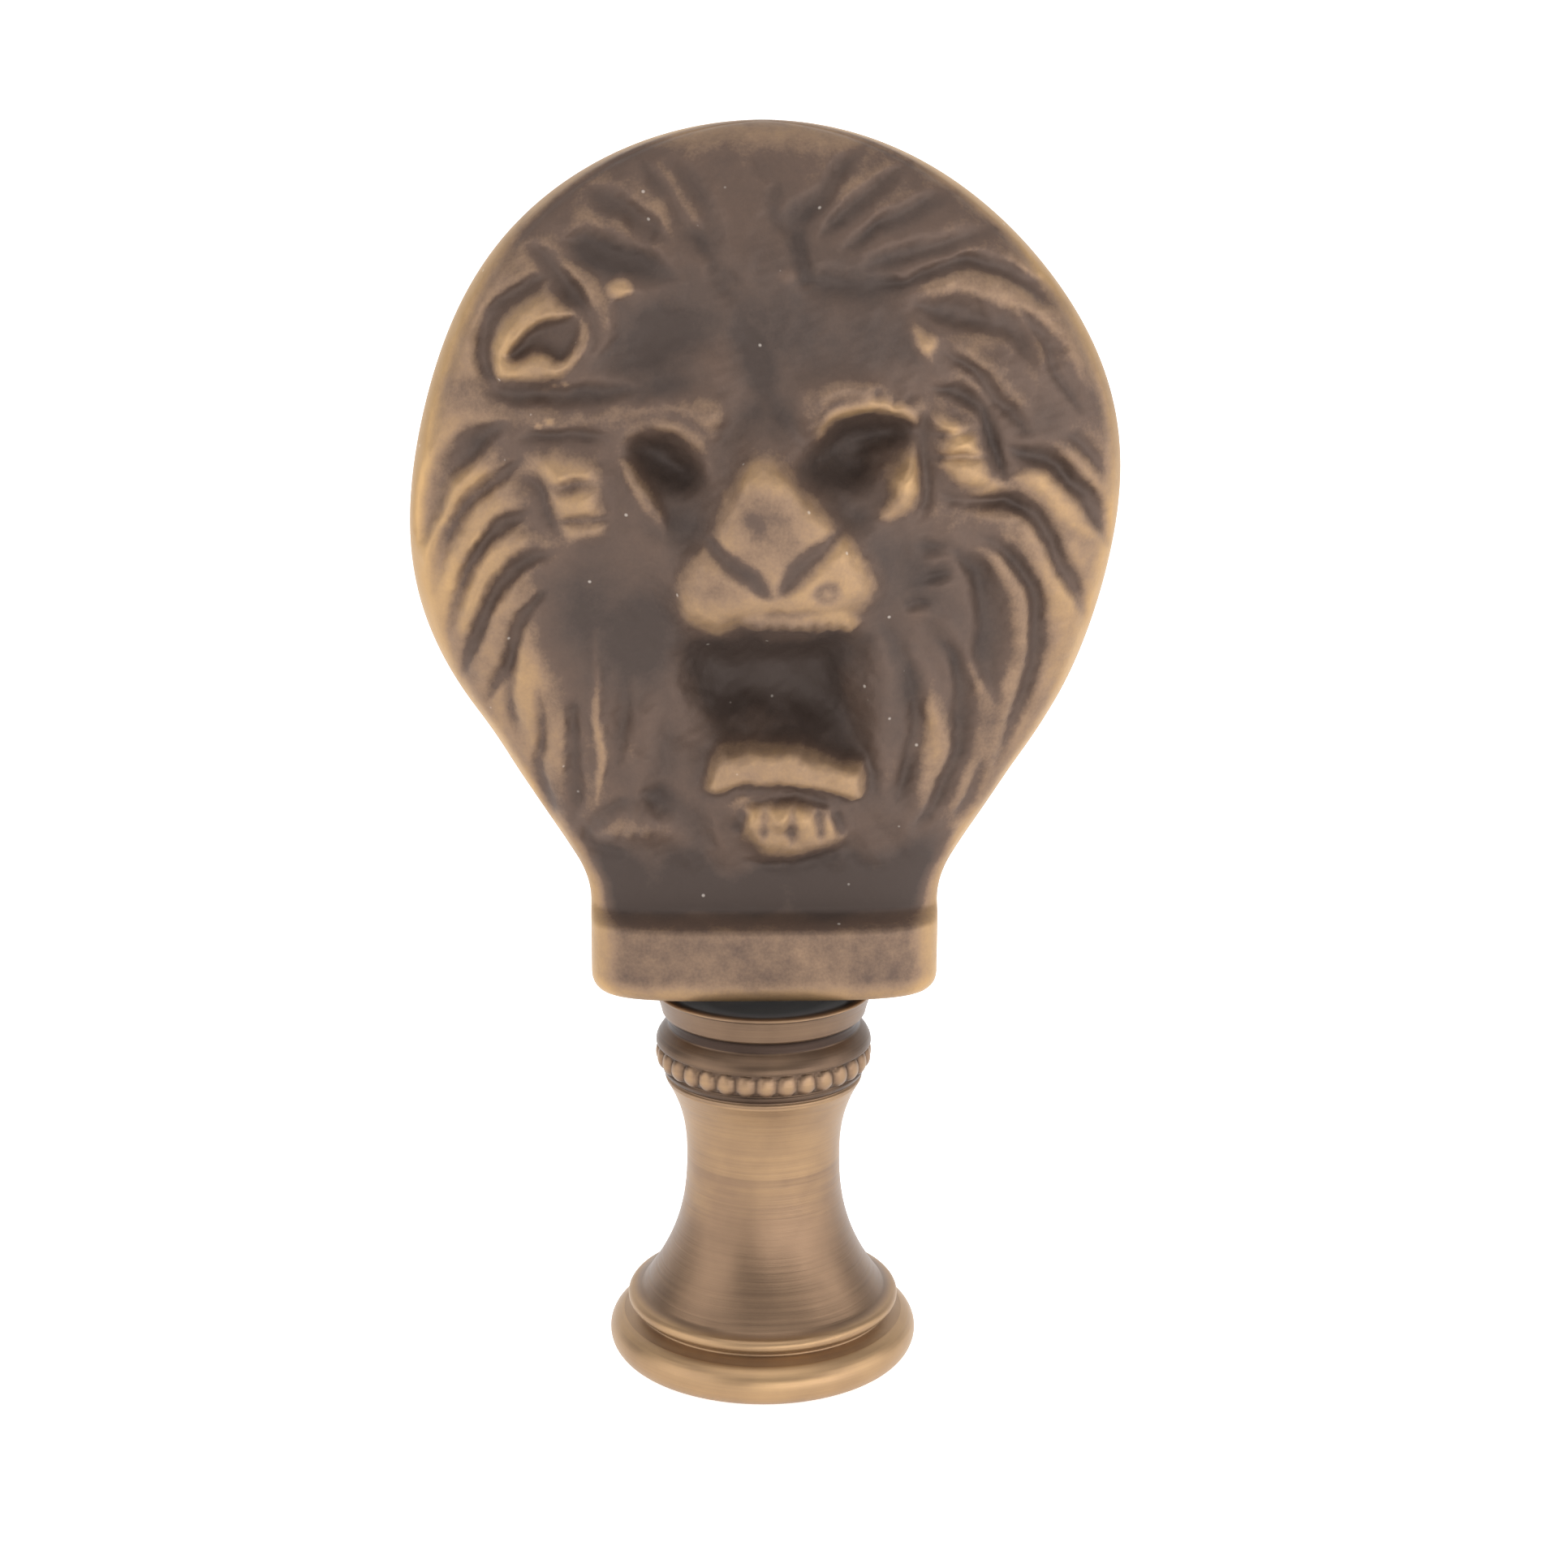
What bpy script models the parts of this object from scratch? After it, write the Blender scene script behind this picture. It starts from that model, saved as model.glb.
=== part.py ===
"""Brass finial: a cast lion mask on its block foot, standing on a turned base.

Metres, +Z up, the mask looks along -Y, the origin is the middle of the underside.
"""

import math

import bpy
import numpy as np

MM = 0.001

# Turned base, sizes from the underside up
FOOT_DIAMETER = 16.0 * MM
FOOT_ROLL_HEIGHT = 2.2 * MM
FOOT_GROOVE_DEPTH = 1.45 * MM
BELL_RIM_HEIGHT = 3.0 * MM
BELL_RIM_RADIUS = 7.05 * MM
BELL_RIM_THICKNESS = 0.8 * MM
COLUMN_WAIST_HEIGHT = 10.8 * MM
COLUMN_WAIST_RADIUS = 3.96 * MM
COLUMN_TOP_HEIGHT = 15.2 * MM
COLUMN_TOP_RADIUS = 5.03 * MM
BEAD_RING_HEIGHT = 16.45 * MM
BEAD_RING_RADIUS = 5.54 * MM
BEAD_COUNT = 32
BEAD_RELIEF = 0.2 * MM
BEAD_LENGTH = 1.15 * MM
NECK_HEIGHT = 18.1 * MM
NECK_RADIUS = 4.92 * MM
FLANGE_EDGE_HEIGHT = 18.75 * MM
FLANGE_EDGE_RADIUS = 5.22 * MM
FLANGE_TOP_HEIGHT = 20.0 * MM
FLANGE_RADIUS = 5.6 * MM
FLANGE_RIM_WIDTH = 0.7 * MM
FLANGE_DISH_DEPTH = 0.5 * MM
THREAD_BORE = 6.35 * MM
THREAD_DEPTH = 12.0 * MM
BORE_CHAMFER = 0.5 * MM

# Casting, sizes of its outline and depth
SEAT_CLEARANCE = 0.3 * MM
CASTING_HEIGHT = 42.9 * MM
MASK_WIDTH = 34.6 * MM
MASK_UPRIGHT = 36.5 * MM
BLOCK_WIDTH = 17.5 * MM
BLOCK_DEPTH = 8.4 * MM
BLOCK_HEIGHT = 3.9 * MM
BLOCK_EDGE_ROUND = 0.9 * MM
COVE_DEPTH = 1.6 * MM
MASK_FRONT_DEPTH = 5.4 * MM
MASK_BACK_DEPTH = 3.0 * MM
OUTLINE_WANDER = 0.24 * MM
RELIEF = 1.15
SOFTEN_PASSES = 2

# Mesh counts
MASK_ROWS = 50
FRONT_COLUMNS = 50
BACK_COLUMNS = 12
TURNED_SIDES = 2 * BEAD_COUNT

CASTING_FOOT = FLANGE_TOP_HEIGHT + SEAT_CLEARANCE
CASTING_TOP = CASTING_FOOT + CASTING_HEIGHT
MASK_CENTRE = CASTING_TOP - 0.5 * MASK_UPRIGHT

# The carving is drawn at the size of the first casting, in millimetres, on an upright
# plane that touches the brow, and is seen from a little above, as a carver would look at it
DRAWN_WIDTH = 34.6
DRAWN_FOOT = 20.3
DRAWN_HEIGHT = 42.9
DRAWN_PLANE = 5.0
EYE_DISTANCE = 144.5
EYE_HEIGHT = 70.7
EYE_TURN = 2.0
SNOUT_PLACE = (0.5, 42.5)
SNOUT_SPREAD = (9.0, 12.0)


def smooth(t):
    """Ease from 0 to 1 with level ends."""
    t = np.clip(t, 0.0, 1.0)
    return t * t * (3.0 - 2.0 * t)


def along(z, stations):
    """Value at height z, eased between (height, value) stations."""
    out = np.full_like(z, stations[0][1])
    for (z0, v0), (z1, v1) in zip(stations, stations[1:]):
        out = out + (v1 - v0) * smooth((z - z0) / (z1 - z0))
    return out


def half_width(z):
    """Half the casting's width: an ellipse, straight flanks that touch it, then the block."""
    half = 0.5 * MASK_WIDTH
    upright = 0.5 * MASK_UPRIGHT
    t = np.clip((z - MASK_CENTRE) / upright, -1.0, 1.0)
    oval = half * np.sqrt(1.0 - t * t)
    touch = 0.556
    touch_z = MASK_CENTRE - touch * upright
    touch_x = half * math.sqrt(1.0 - touch * touch)
    slope = half / upright * touch / math.sqrt(1.0 - touch * touch)
    flank = touch_x + slope * (z - touch_z)
    body = np.where(z < touch_z, flank, oval)
    block = 0.5 * BLOCK_WIDTH
    fillet = 0.04 * BLOCK_WIDTH
    gap = np.clip((fillet - np.abs(body - block)) / fillet, 0.0, 1.0)
    joined = np.maximum(body, block) + 0.25 * fillet * gap * gap
    return np.where(z < MASK_CENTRE, joined, body) - edge_round(z)


def edge_round(z):
    """How far the block's lower edge is rounded in at height z."""
    t = np.clip(1.0 - (z - CASTING_FOOT) / BLOCK_EDGE_ROUND, 0.0, 1.0)
    return BLOCK_EDGE_ROUND * (1.0 - np.sqrt(1.0 - 0.98 * t * t))


def middle(z):
    """Sideways wander of the hand-cut outline."""
    t = (z - MASK_CENTRE) / (0.5 * MASK_UPRIGHT)
    return OUTLINE_WANDER * np.sin(1.76 * math.pi * t) * smooth((t + 0.75) / 0.2)


def crown(z, roundness):
    """1 at the mask's middle height and below, falling to 0 at its top."""
    t = np.clip((z - MASK_CENTRE) / (0.5 * MASK_UPRIGHT), 0.0, 1.0)
    return (1.0 - t ** roundness) ** (1.0 / roundness)


def front_depth(z):
    """Depth of the plain front along the middle line."""
    block = 0.5 * BLOCK_DEPTH
    ledge = CASTING_FOOT + BLOCK_HEIGHT
    rise = MASK_CENTRE - ledge
    stations = [
        (ledge - 0.01 * rise, block),
        (ledge + 0.03 * rise, block - COVE_DEPTH),
        (ledge + 0.12 * rise, block - COVE_DEPTH),
        (ledge + 0.30 * rise, 0.70 * MASK_FRONT_DEPTH),
        (MASK_CENTRE, MASK_FRONT_DEPTH),
    ]
    return along(z, stations) * crown(z, 2.4) - edge_round(z)


def back_depth(z):
    """Depth of the plain back along the middle line."""
    block = 0.5 * BLOCK_DEPTH
    ledge = CASTING_FOOT + BLOCK_HEIGHT
    stations = [
        (ledge, block),
        (ledge + 0.25 * (MASK_CENTRE - ledge), MASK_BACK_DEPTH),
    ]
    return along(z, stations) * crown(z, 3.0) - edge_round(z)


def seen(x, z, lift):
    """Where a point of the front shows on the drawing plane, in drawing millimetres.

    The eye stands a little to the left, so what stands out shows further to the right.
    """
    turn = math.radians(EYE_TURN)
    u = x * DRAWN_WIDTH / MASK_WIDTH
    w = DRAWN_FOOT + (z - CASTING_FOOT) * DRAWN_HEIGHT / CASTING_HEIGHT
    out = lift * DRAWN_HEIGHT / CASTING_HEIGHT
    t = (EYE_DISTANCE - DRAWN_PLANE) / (EYE_DISTANCE - out + u * math.sin(turn))
    return (u * math.cos(turn) + out * math.sin(turn)) * t, EYE_HEIGHT - (EYE_HEIGHT - w) * t


def mound(u, w, centre, size, tilt=0.0, power=2.0):
    """Oval swelling, 1 in the middle and 0 at its rim; a high power flattens its top."""
    a = math.radians(tilt)
    p = ((u - centre[0]) * math.cos(a) + (w - centre[1]) * math.sin(a)) / size[0]
    q = ((w - centre[1]) * math.cos(a) - (u - centre[0]) * math.sin(a)) / size[1]
    r = np.clip(np.hypot(p, q), 0.0, 1.0)
    return (1.0 - r ** power) ** 2


def run(u, w, points, width, taper=0.35):
    """Swelling along a smooth line through the points, narrowing towards its ends."""
    pts = np.array(points, float)
    steps = 8
    line = []
    for i in range(len(pts) - 1):
        before = pts[max(i - 1, 0)]
        after = pts[min(i + 2, len(pts) - 1)]
        for k in range(steps):
            t = k / steps
            bend0 = 0.5 * (pts[i + 1] - before)
            bend1 = 0.5 * (after - pts[i])
            line.append(
                (2 * t ** 3 - 3 * t ** 2 + 1) * pts[i]
                + (t ** 3 - 2 * t ** 2 + t) * bend0
                + (3 * t ** 2 - 2 * t ** 3) * pts[i + 1]
                + (t ** 3 - t ** 2) * bend1
            )
    line.append(pts[-1])
    line = np.array(line)
    best = np.full(u.shape, 1e9)
    where = np.zeros(u.shape)
    for i in range(len(line) - 1):
        d = line[i + 1] - line[i]
        k = np.clip(((u - line[i, 0]) * d[0] + (w - line[i, 1]) * d[1]) / (d @ d), 0.0, 1.0)
        off = np.hypot(u - line[i, 0] - k * d[0], w - line[i, 1] - k * d[1])
        nearer = off < best
        best = np.where(nearer, off, best)
        where = np.where(nearer, (i + k) / (len(line) - 1), where)
    ends = np.clip(np.minimum(where, 1.0 - where) / taper, 0.0, 1.0)
    local = width * (0.35 + 0.65 * np.sqrt(ends))
    r = np.clip(best / local, 0.0, 1.0)
    return (1.0 - r * r) ** 2 * (0.3 + 0.7 * ends)


def masses(u, w):
    """Large forms of the face, in drawing millimetres above the plain front."""
    rise = 1.1 * mound(u, w, (-4.4, 51.2), (5.4, 3.4))
    rise += 1.6 * run(u, w, [(1.6, 49.6), (3.2, 51.4), (5.2, 51.3), (7.6, 49.6)], 2.3)
    rise += 1.2 * run(u, w, [(-1.2, 50.0), (-4.0, 50.6), (-8.4, 50.0)], 2.2)
    rise += 2.3 * run(u, w, [(0.1, 49.6), (0.3, 47.0), (0.5, 44.0)], 3.6, 0.6)
    rise += 2.5 * mound(u, w, (-1.7, 42.2), (3.9, 4.0))
    rise += 2.5 * mound(u, w, (2.8, 42.4), (3.9, 4.0))
    rise += 1.5 * mound(u, w, (-9.0, 46.5), (4.0, 4.2))
    rise += 1.7 * mound(u, w, (9.2, 48.0), (3.6, 4.6))
    rise += 0.5 * run(u, w, [(-5.2, 38.4), (-5.2, 35.4), (-4.6, 31.8)], 2.4)
    rise += 0.8 * run(u, w, [(5.9, 39.4), (6.1, 35.8), (5.6, 31.8)], 2.2)
    rise += 2.2 * run(u, w, [(-3.6, 32.2), (1.0, 32.6), (5.2, 32.2)], 2.3, 0.25)
    rise += 2.2 * mound(u, w, (1.2, 29.6), (4.4, 3.2))
    rise += 1.4 * mound(u, w, (-6.2, 30.0), (3.4, 2.5))
    rise += 1.2 * mound(u, w, (-10.3, 53.8), (4.2, 4.0), power=3.0)
    rise += 1.0 * run(u, w, [(-1.0, 61.0), (-0.9, 57.6), (0.9, 54.0)], 2.8, 0.5)
    rise += 0.9 * run(u, w, [(7.0, 55.6), (9.6, 55.9), (12.2, 54.2)], 1.6)
    rise += 0.9 * run(u, w, [(11.6, 48.2), (14.0, 48.0), (16.0, 46.6)], 1.5)
    return rise


def hollows(u, w):
    """Eye sockets, mouth, ear and the broad furrows of the mane, in drawing millimetres."""
    cut = 3.4 * mound(u, w, (-4.6, 47.3), (3.5, 2.5), -36.0, 2.4)
    cut += 3.4 * mound(u, w, (4.5, 48.2), (4.0, 2.6), 27.0, 2.4)
    cut += 4.4 * mound(u, w, (0.6, 36.6), (5.4, 4.4), 0.0, 4.0)
    cut += 1.2 * mound(u, w, (-9.9, 53.5), (2.8, 2.0), 20.0)
    cut += 1.0 * mound(u, w, (-7.6, 39.8), (3.2, 5.0))
    furrows = [
        ([(-10.6, 57.8), (-8.0, 57.7), (-4.6, 56.0)], 1.5, 1.1),
        ([(-4.4, 61.2), (-2.9, 59.4), (-2.4, 56.2)], 1.3, 0.9),
        ([(-4.6, 55.2), (-1.6, 55.0), (0.2, 52.4), (0.0, 49.8)], 1.5, 1.1),
        ([(3.9, 60.9), (2.2, 59.0), (2.3, 55.6)], 1.4, 0.8),
        ([(10.4, 58.0), (7.4, 57.6), (4.0, 56.4)], 1.3, 0.8),
        ([(6.9, 54.8), (9.9, 54.0), (12.4, 52.0), (14.2, 49.6)], 1.7, 1.1),
        ([(7.9, 51.4), (10.4, 50.4), (11.3, 47.0)], 1.2, 0.9),
        ([(11.6, 46.9), (13.8, 46.6), (16.1, 43.8)], 1.3, 1.0),
        ([(10.0, 45.4), (13.2, 43.8), (15.0, 40.2)], 1.3, 1.1),
        ([(9.6, 43.0), (10.9, 40.6), (10.9, 36.2)], 1.6, 1.1),
        ([(8.6, 38.4), (9.4, 35.4), (7.8, 31.0)], 1.3, 0.9),
        ([(-8.6, 50.6), (-12.6, 50.8)], 1.3, 1.0),
        ([(-12.3, 48.6), (-14.8, 47.0), (-16.1, 43.8)], 1.3, 1.0),
        ([(-11.2, 45.9), (-13.9, 44.2), (-15.5, 40.8)], 1.3, 1.1),
        ([(-10.2, 43.0), (-12.8, 41.2), (-14.4, 37.4)], 1.3, 1.1),
        ([(-10.6, 39.4), (-10.7, 36.0), (-10.9, 32.8)], 1.4, 0.9),
        ([(-5.9, 31.6), (-4.2, 30.8), (-2.5, 28.9)], 1.2, 0.9),
    ]
    for points, width, depth in furrows:
        cut += depth * run(u, w, points, width)
    return cut


def soften(grid, passes):
    """Ease the steps that the coarse mesh would make of steep walls."""
    for _ in range(passes):
        inner = grid[1:-1, 1:-1]
        beside = grid[1:-1, :-2] + grid[1:-1, 2:] + grid[:-2, 1:-1] + grid[2:, 1:-1]
        grid = grid.copy()
        grid[1:-1, 1:-1] = 0.5 * inner + 0.125 * beside
    return grid


def carved_front(x, z, plain):
    """Plain front with the carving on it, faded out over the block and at the outline."""
    share = np.clip(1.0 - np.abs(x - middle(z)) / half_width(z), 0.0, 1.0)
    fade = smooth(share / 0.07) * smooth((z - CASTING_FOOT - 1.5 * BLOCK_HEIGHT) / (1.5 * MM))
    fade = fade * smooth((CASTING_TOP - z) / (0.03 * MASK_UPRIGHT))
    scale = RELIEF * CASTING_HEIGHT / DRAWN_HEIGHT
    u, w = seen(x, z, plain)
    swell = 2.4 * MM * mound(u, w, SNOUT_PLACE, SNOUT_SPREAD)
    u, w = seen(x, z, plain + swell)
    relief = soften(fade * (masses(u, w) - hollows(u, w)), SOFTEN_PASSES)
    return np.maximum(plain + scale * relief, 0.12 * MASK_FRONT_DEPTH * fade)


def casting_rows():
    """Heights of the rows: close together round the block and towards the top."""
    low = np.array([0.0, 0.3, 0.7, 1.0]) * BLOCK_EDGE_ROUND
    ledge = BLOCK_HEIGHT + np.array([-0.4, 0.0, 0.3, 0.6]) * MM
    start = BLOCK_HEIGHT + 1.4 * MM
    count = MASK_ROWS - 8
    t = np.linspace(0.0, 1.0, count)
    bend = np.sin(0.5 * math.pi * t)
    climb = start + (CASTING_HEIGHT - start) * (0.45 * t + 0.55 * bend)
    return CASTING_FOOT + np.concatenate([low, ledge, climb])[:-1]


def build_casting():
    """Closed loops of front and back points, one at each height, capped below and above."""
    rows = casting_rows()
    front = np.linspace(0.0, math.pi, FRONT_COLUMNS + 1)
    back = np.linspace(math.pi, 2.0 * math.pi, BACK_COLUMNS + 1)[1:-1]
    angles = np.concatenate([front, back])
    z = np.repeat(rows[:, None], len(angles), axis=1)
    a = np.repeat(angles[None, :], len(rows), axis=0)
    in_block = 1.0 - smooth((z - CASTING_FOOT - BLOCK_HEIGHT) / (4.0 * MM))
    across = -np.cos(a)
    squared = np.sign(across) * np.abs(across) ** (1.0 - 0.55 * in_block)
    x = middle(z) + half_width(z) * squared
    roundness = 2.3 + 1.7 * in_block
    depth = (1.0 - np.abs(squared) ** roundness) ** (1.0 / roundness)
    facing = np.sin(a) >= -1e-9
    plain = front_depth(z) * depth
    lift = carved_front(x, z, plain)
    y = np.where(facing, -lift, back_depth(z) * depth)
    top = np.array([[middle(np.array(CASTING_TOP)), 0.0, CASTING_TOP]])
    foot = np.array([[0.0, 0.0, CASTING_FOOT]])
    verts = np.concatenate([np.stack([x, y, z], axis=2).reshape(-1, 3), top, foot])
    n = len(angles)
    count = len(rows) * n
    faces = []
    for r in range(len(rows) - 1):
        for c in range(n):
            d = (c + 1) % n
            faces.append((r * n + c, r * n + d, (r + 1) * n + d, (r + 1) * n + c))
    last = (len(rows) - 1) * n
    for c in range(n):
        d = (c + 1) % n
        faces.append((last + c, last + d, count))
        faces.append((d, c, count + 1))
    return make_object("lion_mask", verts, faces)


def base_profile():
    """Radius and height of each turned ring, from the bore's end out and up to the dish."""
    foot = 0.5 * FOOT_DIAMETER
    bore = 0.5 * THREAD_BORE
    roll = 0.5 * FOOT_ROLL_HEIGHT
    rings = [(bore, THREAD_DEPTH), (bore, BORE_CHAMFER), (bore + BORE_CHAMFER, 0.0)]
    rings.append((foot - 1.1 * roll, 0.0))
    for deg in (-50, -10, 30, 75):
        t = math.radians(deg)
        rings.append((foot - roll + roll * math.cos(t), roll + roll * math.sin(t)))
    rings.append((foot - FOOT_GROOVE_DEPTH, FOOT_ROLL_HEIGHT + 0.1 * roll))
    lip = 0.5 * BELL_RIM_THICKNESS
    rings.append((BELL_RIM_RADIUS, BELL_RIM_HEIGHT - 0.4 * lip))
    rings.append((BELL_RIM_RADIUS, BELL_RIM_HEIGHT + 0.4 * lip))
    rings.append((BELL_RIM_RADIUS - 0.8 * lip, BELL_RIM_HEIGHT + lip))
    for share in (0.12, 0.27, 0.48, 0.8):
        z = BELL_RIM_HEIGHT + share * (COLUMN_WAIST_HEIGHT - BELL_RIM_HEIGHT)
        flare = BELL_RIM_RADIUS - 0.8 * lip - COLUMN_WAIST_RADIUS
        rings.append((COLUMN_WAIST_RADIUS + flare * (1.0 - share) ** 2.35, z))
    for share in (0.45, 0.8, 1.0):
        z = COLUMN_WAIST_HEIGHT + share * (COLUMN_TOP_HEIGHT - COLUMN_WAIST_HEIGHT)
        rise = COLUMN_TOP_RADIUS - COLUMN_WAIST_RADIUS
        rings.append((COLUMN_WAIST_RADIUS + rise * share ** 2.4, z))
    return rings


def bead_profile():
    """Rings of the bead band: radius, height and the share of the bead's relief there."""
    half = 0.5 * BEAD_LENGTH
    rings = []
    for t in (-1.0, -0.5, 0.5, 1.0):
        swell = math.sqrt(max(1.0 - t * t, 0.0))
        radius = BEAD_RING_RADIUS - (0.4 * half * (1.0 - swell) if t < 0.0 else 0.0)
        rings.append((radius, BEAD_RING_HEIGHT + half * t, swell))
    return rings


def flange_profile():
    """Shoulder, neck and flange up to its rim, then the dished top."""
    inner = FLANGE_RADIUS - FLANGE_RIM_WIDTH
    step = BEAD_RING_RADIUS - NECK_RADIUS
    fall = NECK_HEIGHT - BEAD_RING_HEIGHT - 0.5 * BEAD_LENGTH
    return [
        (NECK_RADIUS + 0.72 * step, NECK_HEIGHT - 0.6 * fall),
        (NECK_RADIUS, NECK_HEIGHT - 0.1 * fall),
        (NECK_RADIUS, NECK_HEIGHT + 0.3 * fall),
        (FLANGE_EDGE_RADIUS, FLANGE_EDGE_HEIGHT),
        (FLANGE_RADIUS, FLANGE_TOP_HEIGHT - 0.1 * FLANGE_RIM_WIDTH),
        (FLANGE_RADIUS - 0.1 * FLANGE_RIM_WIDTH, FLANGE_TOP_HEIGHT),
        (inner, FLANGE_TOP_HEIGHT),
        (0.6 * inner, FLANGE_TOP_HEIGHT - 0.8 * FLANGE_DISH_DEPTH),
    ]


def build_base():
    """Rings turned round the axis; the bead band swells out and in between two sides."""
    rings = [(r, z, 0.0) for r, z in base_profile()]
    rings += bead_profile()
    rings += [(r, z, 0.0) for r, z in flange_profile()]
    turn = 2.0 * math.pi / TURNED_SIDES
    verts = []
    for radius, z, relief in rings:
        for k in range(TURNED_SIDES):
            bead = 0.5 + 0.5 * math.cos(BEAD_COUNT * k * turn)
            r = radius - BEAD_RELIEF * relief * (1.0 - bead)
            verts.append((r * math.cos(k * turn), r * math.sin(k * turn), z))
    bore_end = len(verts)
    verts.append((0.0, 0.0, THREAD_DEPTH))
    verts.append((0.0, 0.0, FLANGE_TOP_HEIGHT - FLANGE_DISH_DEPTH))
    n = TURNED_SIDES
    faces = []
    for r in range(len(rings) - 1):
        for c in range(n):
            d = (c + 1) % n
            faces.append((r * n + c, r * n + d, (r + 1) * n + d, (r + 1) * n + c))
    last = (len(rings) - 1) * n
    for c in range(n):
        d = (c + 1) % n
        faces.append((d, c, bore_end))
        faces.append((last + c, last + d, bore_end + 1))
    return make_object("turned_base", verts, faces)


def brass(name, colour, roughness):
    """Metal of one piece: its worn colour and how dull it is."""
    material = bpy.data.materials.new(name)
    material.use_nodes = True
    shader = material.node_tree.nodes["Principled BSDF"]
    shader.inputs["Base Color"].default_value = (*colour, 1.0)
    shader.inputs["Metallic"].default_value = 1.0
    shader.inputs["Roughness"].default_value = roughness
    return material


def make_object(name, verts, faces):
    """Mesh object from points in metres, shaded smooth except at sharp edges."""
    mesh = bpy.data.meshes.new(name)
    mesh.from_pydata([tuple(float(c) for c in v) for v in verts], [], faces)
    mesh.validate()
    mesh.shade_smooth()
    mesh.set_sharp_from_angle(angle=math.radians(40.0))
    obj = bpy.data.objects.new(name, mesh)
    bpy.context.scene.collection.objects.link(obj)
    return obj


def main():
    for obj in list(bpy.data.objects):
        bpy.data.objects.remove(obj, do_unlink=True)
    base = build_base()
    base.data.materials.append(brass("turned_brass", (0.42, 0.29, 0.16), 0.35))
    mask = build_casting()
    mask.data.materials.append(brass("cast_brass", (0.26, 0.18, 0.12), 0.42))


main()
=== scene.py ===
"""Looks of the brass finial: a patinated cast lion mask on a turned, beaded base."""
import math

import bpy
import numpy as np
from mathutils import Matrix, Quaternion, Vector
from bpy.props import FloatProperty, FloatVectorProperty, IntProperty, PointerProperty, StringProperty


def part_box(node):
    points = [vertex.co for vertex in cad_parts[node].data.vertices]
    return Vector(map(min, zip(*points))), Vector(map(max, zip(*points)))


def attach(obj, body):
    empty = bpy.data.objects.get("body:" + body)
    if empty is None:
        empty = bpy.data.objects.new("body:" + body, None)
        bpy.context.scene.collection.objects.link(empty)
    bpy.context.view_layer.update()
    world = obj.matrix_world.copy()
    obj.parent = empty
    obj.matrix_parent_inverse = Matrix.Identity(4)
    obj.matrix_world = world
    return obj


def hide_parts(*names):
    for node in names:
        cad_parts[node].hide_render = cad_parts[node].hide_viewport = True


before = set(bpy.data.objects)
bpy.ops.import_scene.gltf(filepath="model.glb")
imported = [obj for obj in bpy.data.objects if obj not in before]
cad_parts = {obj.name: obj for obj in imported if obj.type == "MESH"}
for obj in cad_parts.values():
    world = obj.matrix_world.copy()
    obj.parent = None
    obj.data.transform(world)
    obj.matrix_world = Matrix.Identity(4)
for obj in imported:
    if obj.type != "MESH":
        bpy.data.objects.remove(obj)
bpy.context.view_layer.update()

bl_info = {
    "name": "Lion Mask Finial",
    "version": (1, 0, 0),
    "blender": (4, 5, 0),
    "location": "View3D > Sidebar > Finial",
    "description": "Builds the cast mask, the turned base and the studio of a brass finial",
    "category": "Object",
}

MM = 0.001
SENSOR_MM = 36.0

# The carving is drawn on an upright plane just before the brow, as seen from a little above and to
# the left: millimetres to plane and eye, degrees, and the raster's step and limits
PLANE = 5.0
EYE_BACK = 144.5
EYE_UP = 70.7
EYE_TURN = 2.0
RASTER = 0.07
LOW_W = 19.0
HIGH_W = 65.0
WIDE_U = 19.0

# Rings of the mask's mesh round the lower edge and over the crown, points across front, edges
# and back, and how square the crown's arc is before and behind
LOW_ROWS = 9
CROWN_ROWS = 52
FRONT_POINTS = 196
EDGE_POINTS = 20
BACK_POINTS = 48
FRONT_CROWN = 2.4
BACK_CROWN = 3.0

# Heights and paces of broad and fine waves: the carver's hand, which lets lines wander by a tenth
# of a millimetre or two, and the lumps of the casting
HAND = (0.2, 2.4, 0.07, 9.0)
LUMPS = (0.16, 2.2, 0.05, 7.0)

# Paint: on level carving and how far it goes either way, in the cove (patina and painted shade), on block
# and back
LEVEL_TONE = 0.28
TONE_REACH = 0.64
COVE_PATINA_AND_SHADE = 1.02
BLOCK_TONE = 0.25
BLOCK_WEAR = 0.2
BACK_TONE = 0.35
BACK_WEAR = 0.35

# Heights of the base's mouldings over its seat, and the relief of bead and thread, in millimetres
RIM_Z = 3.0
BELL_TOP_Z = 10.8
COLUMN_TOP_Z = 15.1
BEAD_Z = 16.4
BEAD_HALF = 0.6
NECK_Z = 18.0
BEAD_RELIEF = 0.24
BEAD_SHARE = 0.96
THREAD_RELIEF = 0.45

# Soft boxes of the studio: name, place, width, height and watts
SOFT_BOXES = (
    ("left_box", (-0.30, -0.16, 0.10), 0.36, 0.36, 0.9),
    ("right_box", (0.30, -0.10, 0.07), 0.30, 0.30, 0.72),
    ("top_box", (0.0, -0.10, 0.36), 0.36, 0.30, 0.65),
    ("low_box", (0.12, -0.28, 0.03), 0.36, 0.10, 0.55),
)


def smooth(t):
    """Eases from 0 to 1 with level ends: 3t^2 - 2t^3."""
    t = np.clip(t, 0.0, 1.0)
    return t * t * (3.0 - 2.0 * t)


def along(z, stations):
    """Value at each height, eased between (height, value) stations."""
    out = np.full_like(z, stations[0][1])
    for (z0, v0), (z1, v1) in zip(stations, stations[1:]):
        out = out + (v1 - v0) * smooth((z - z0) / (z1 - z0))
    return out


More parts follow.
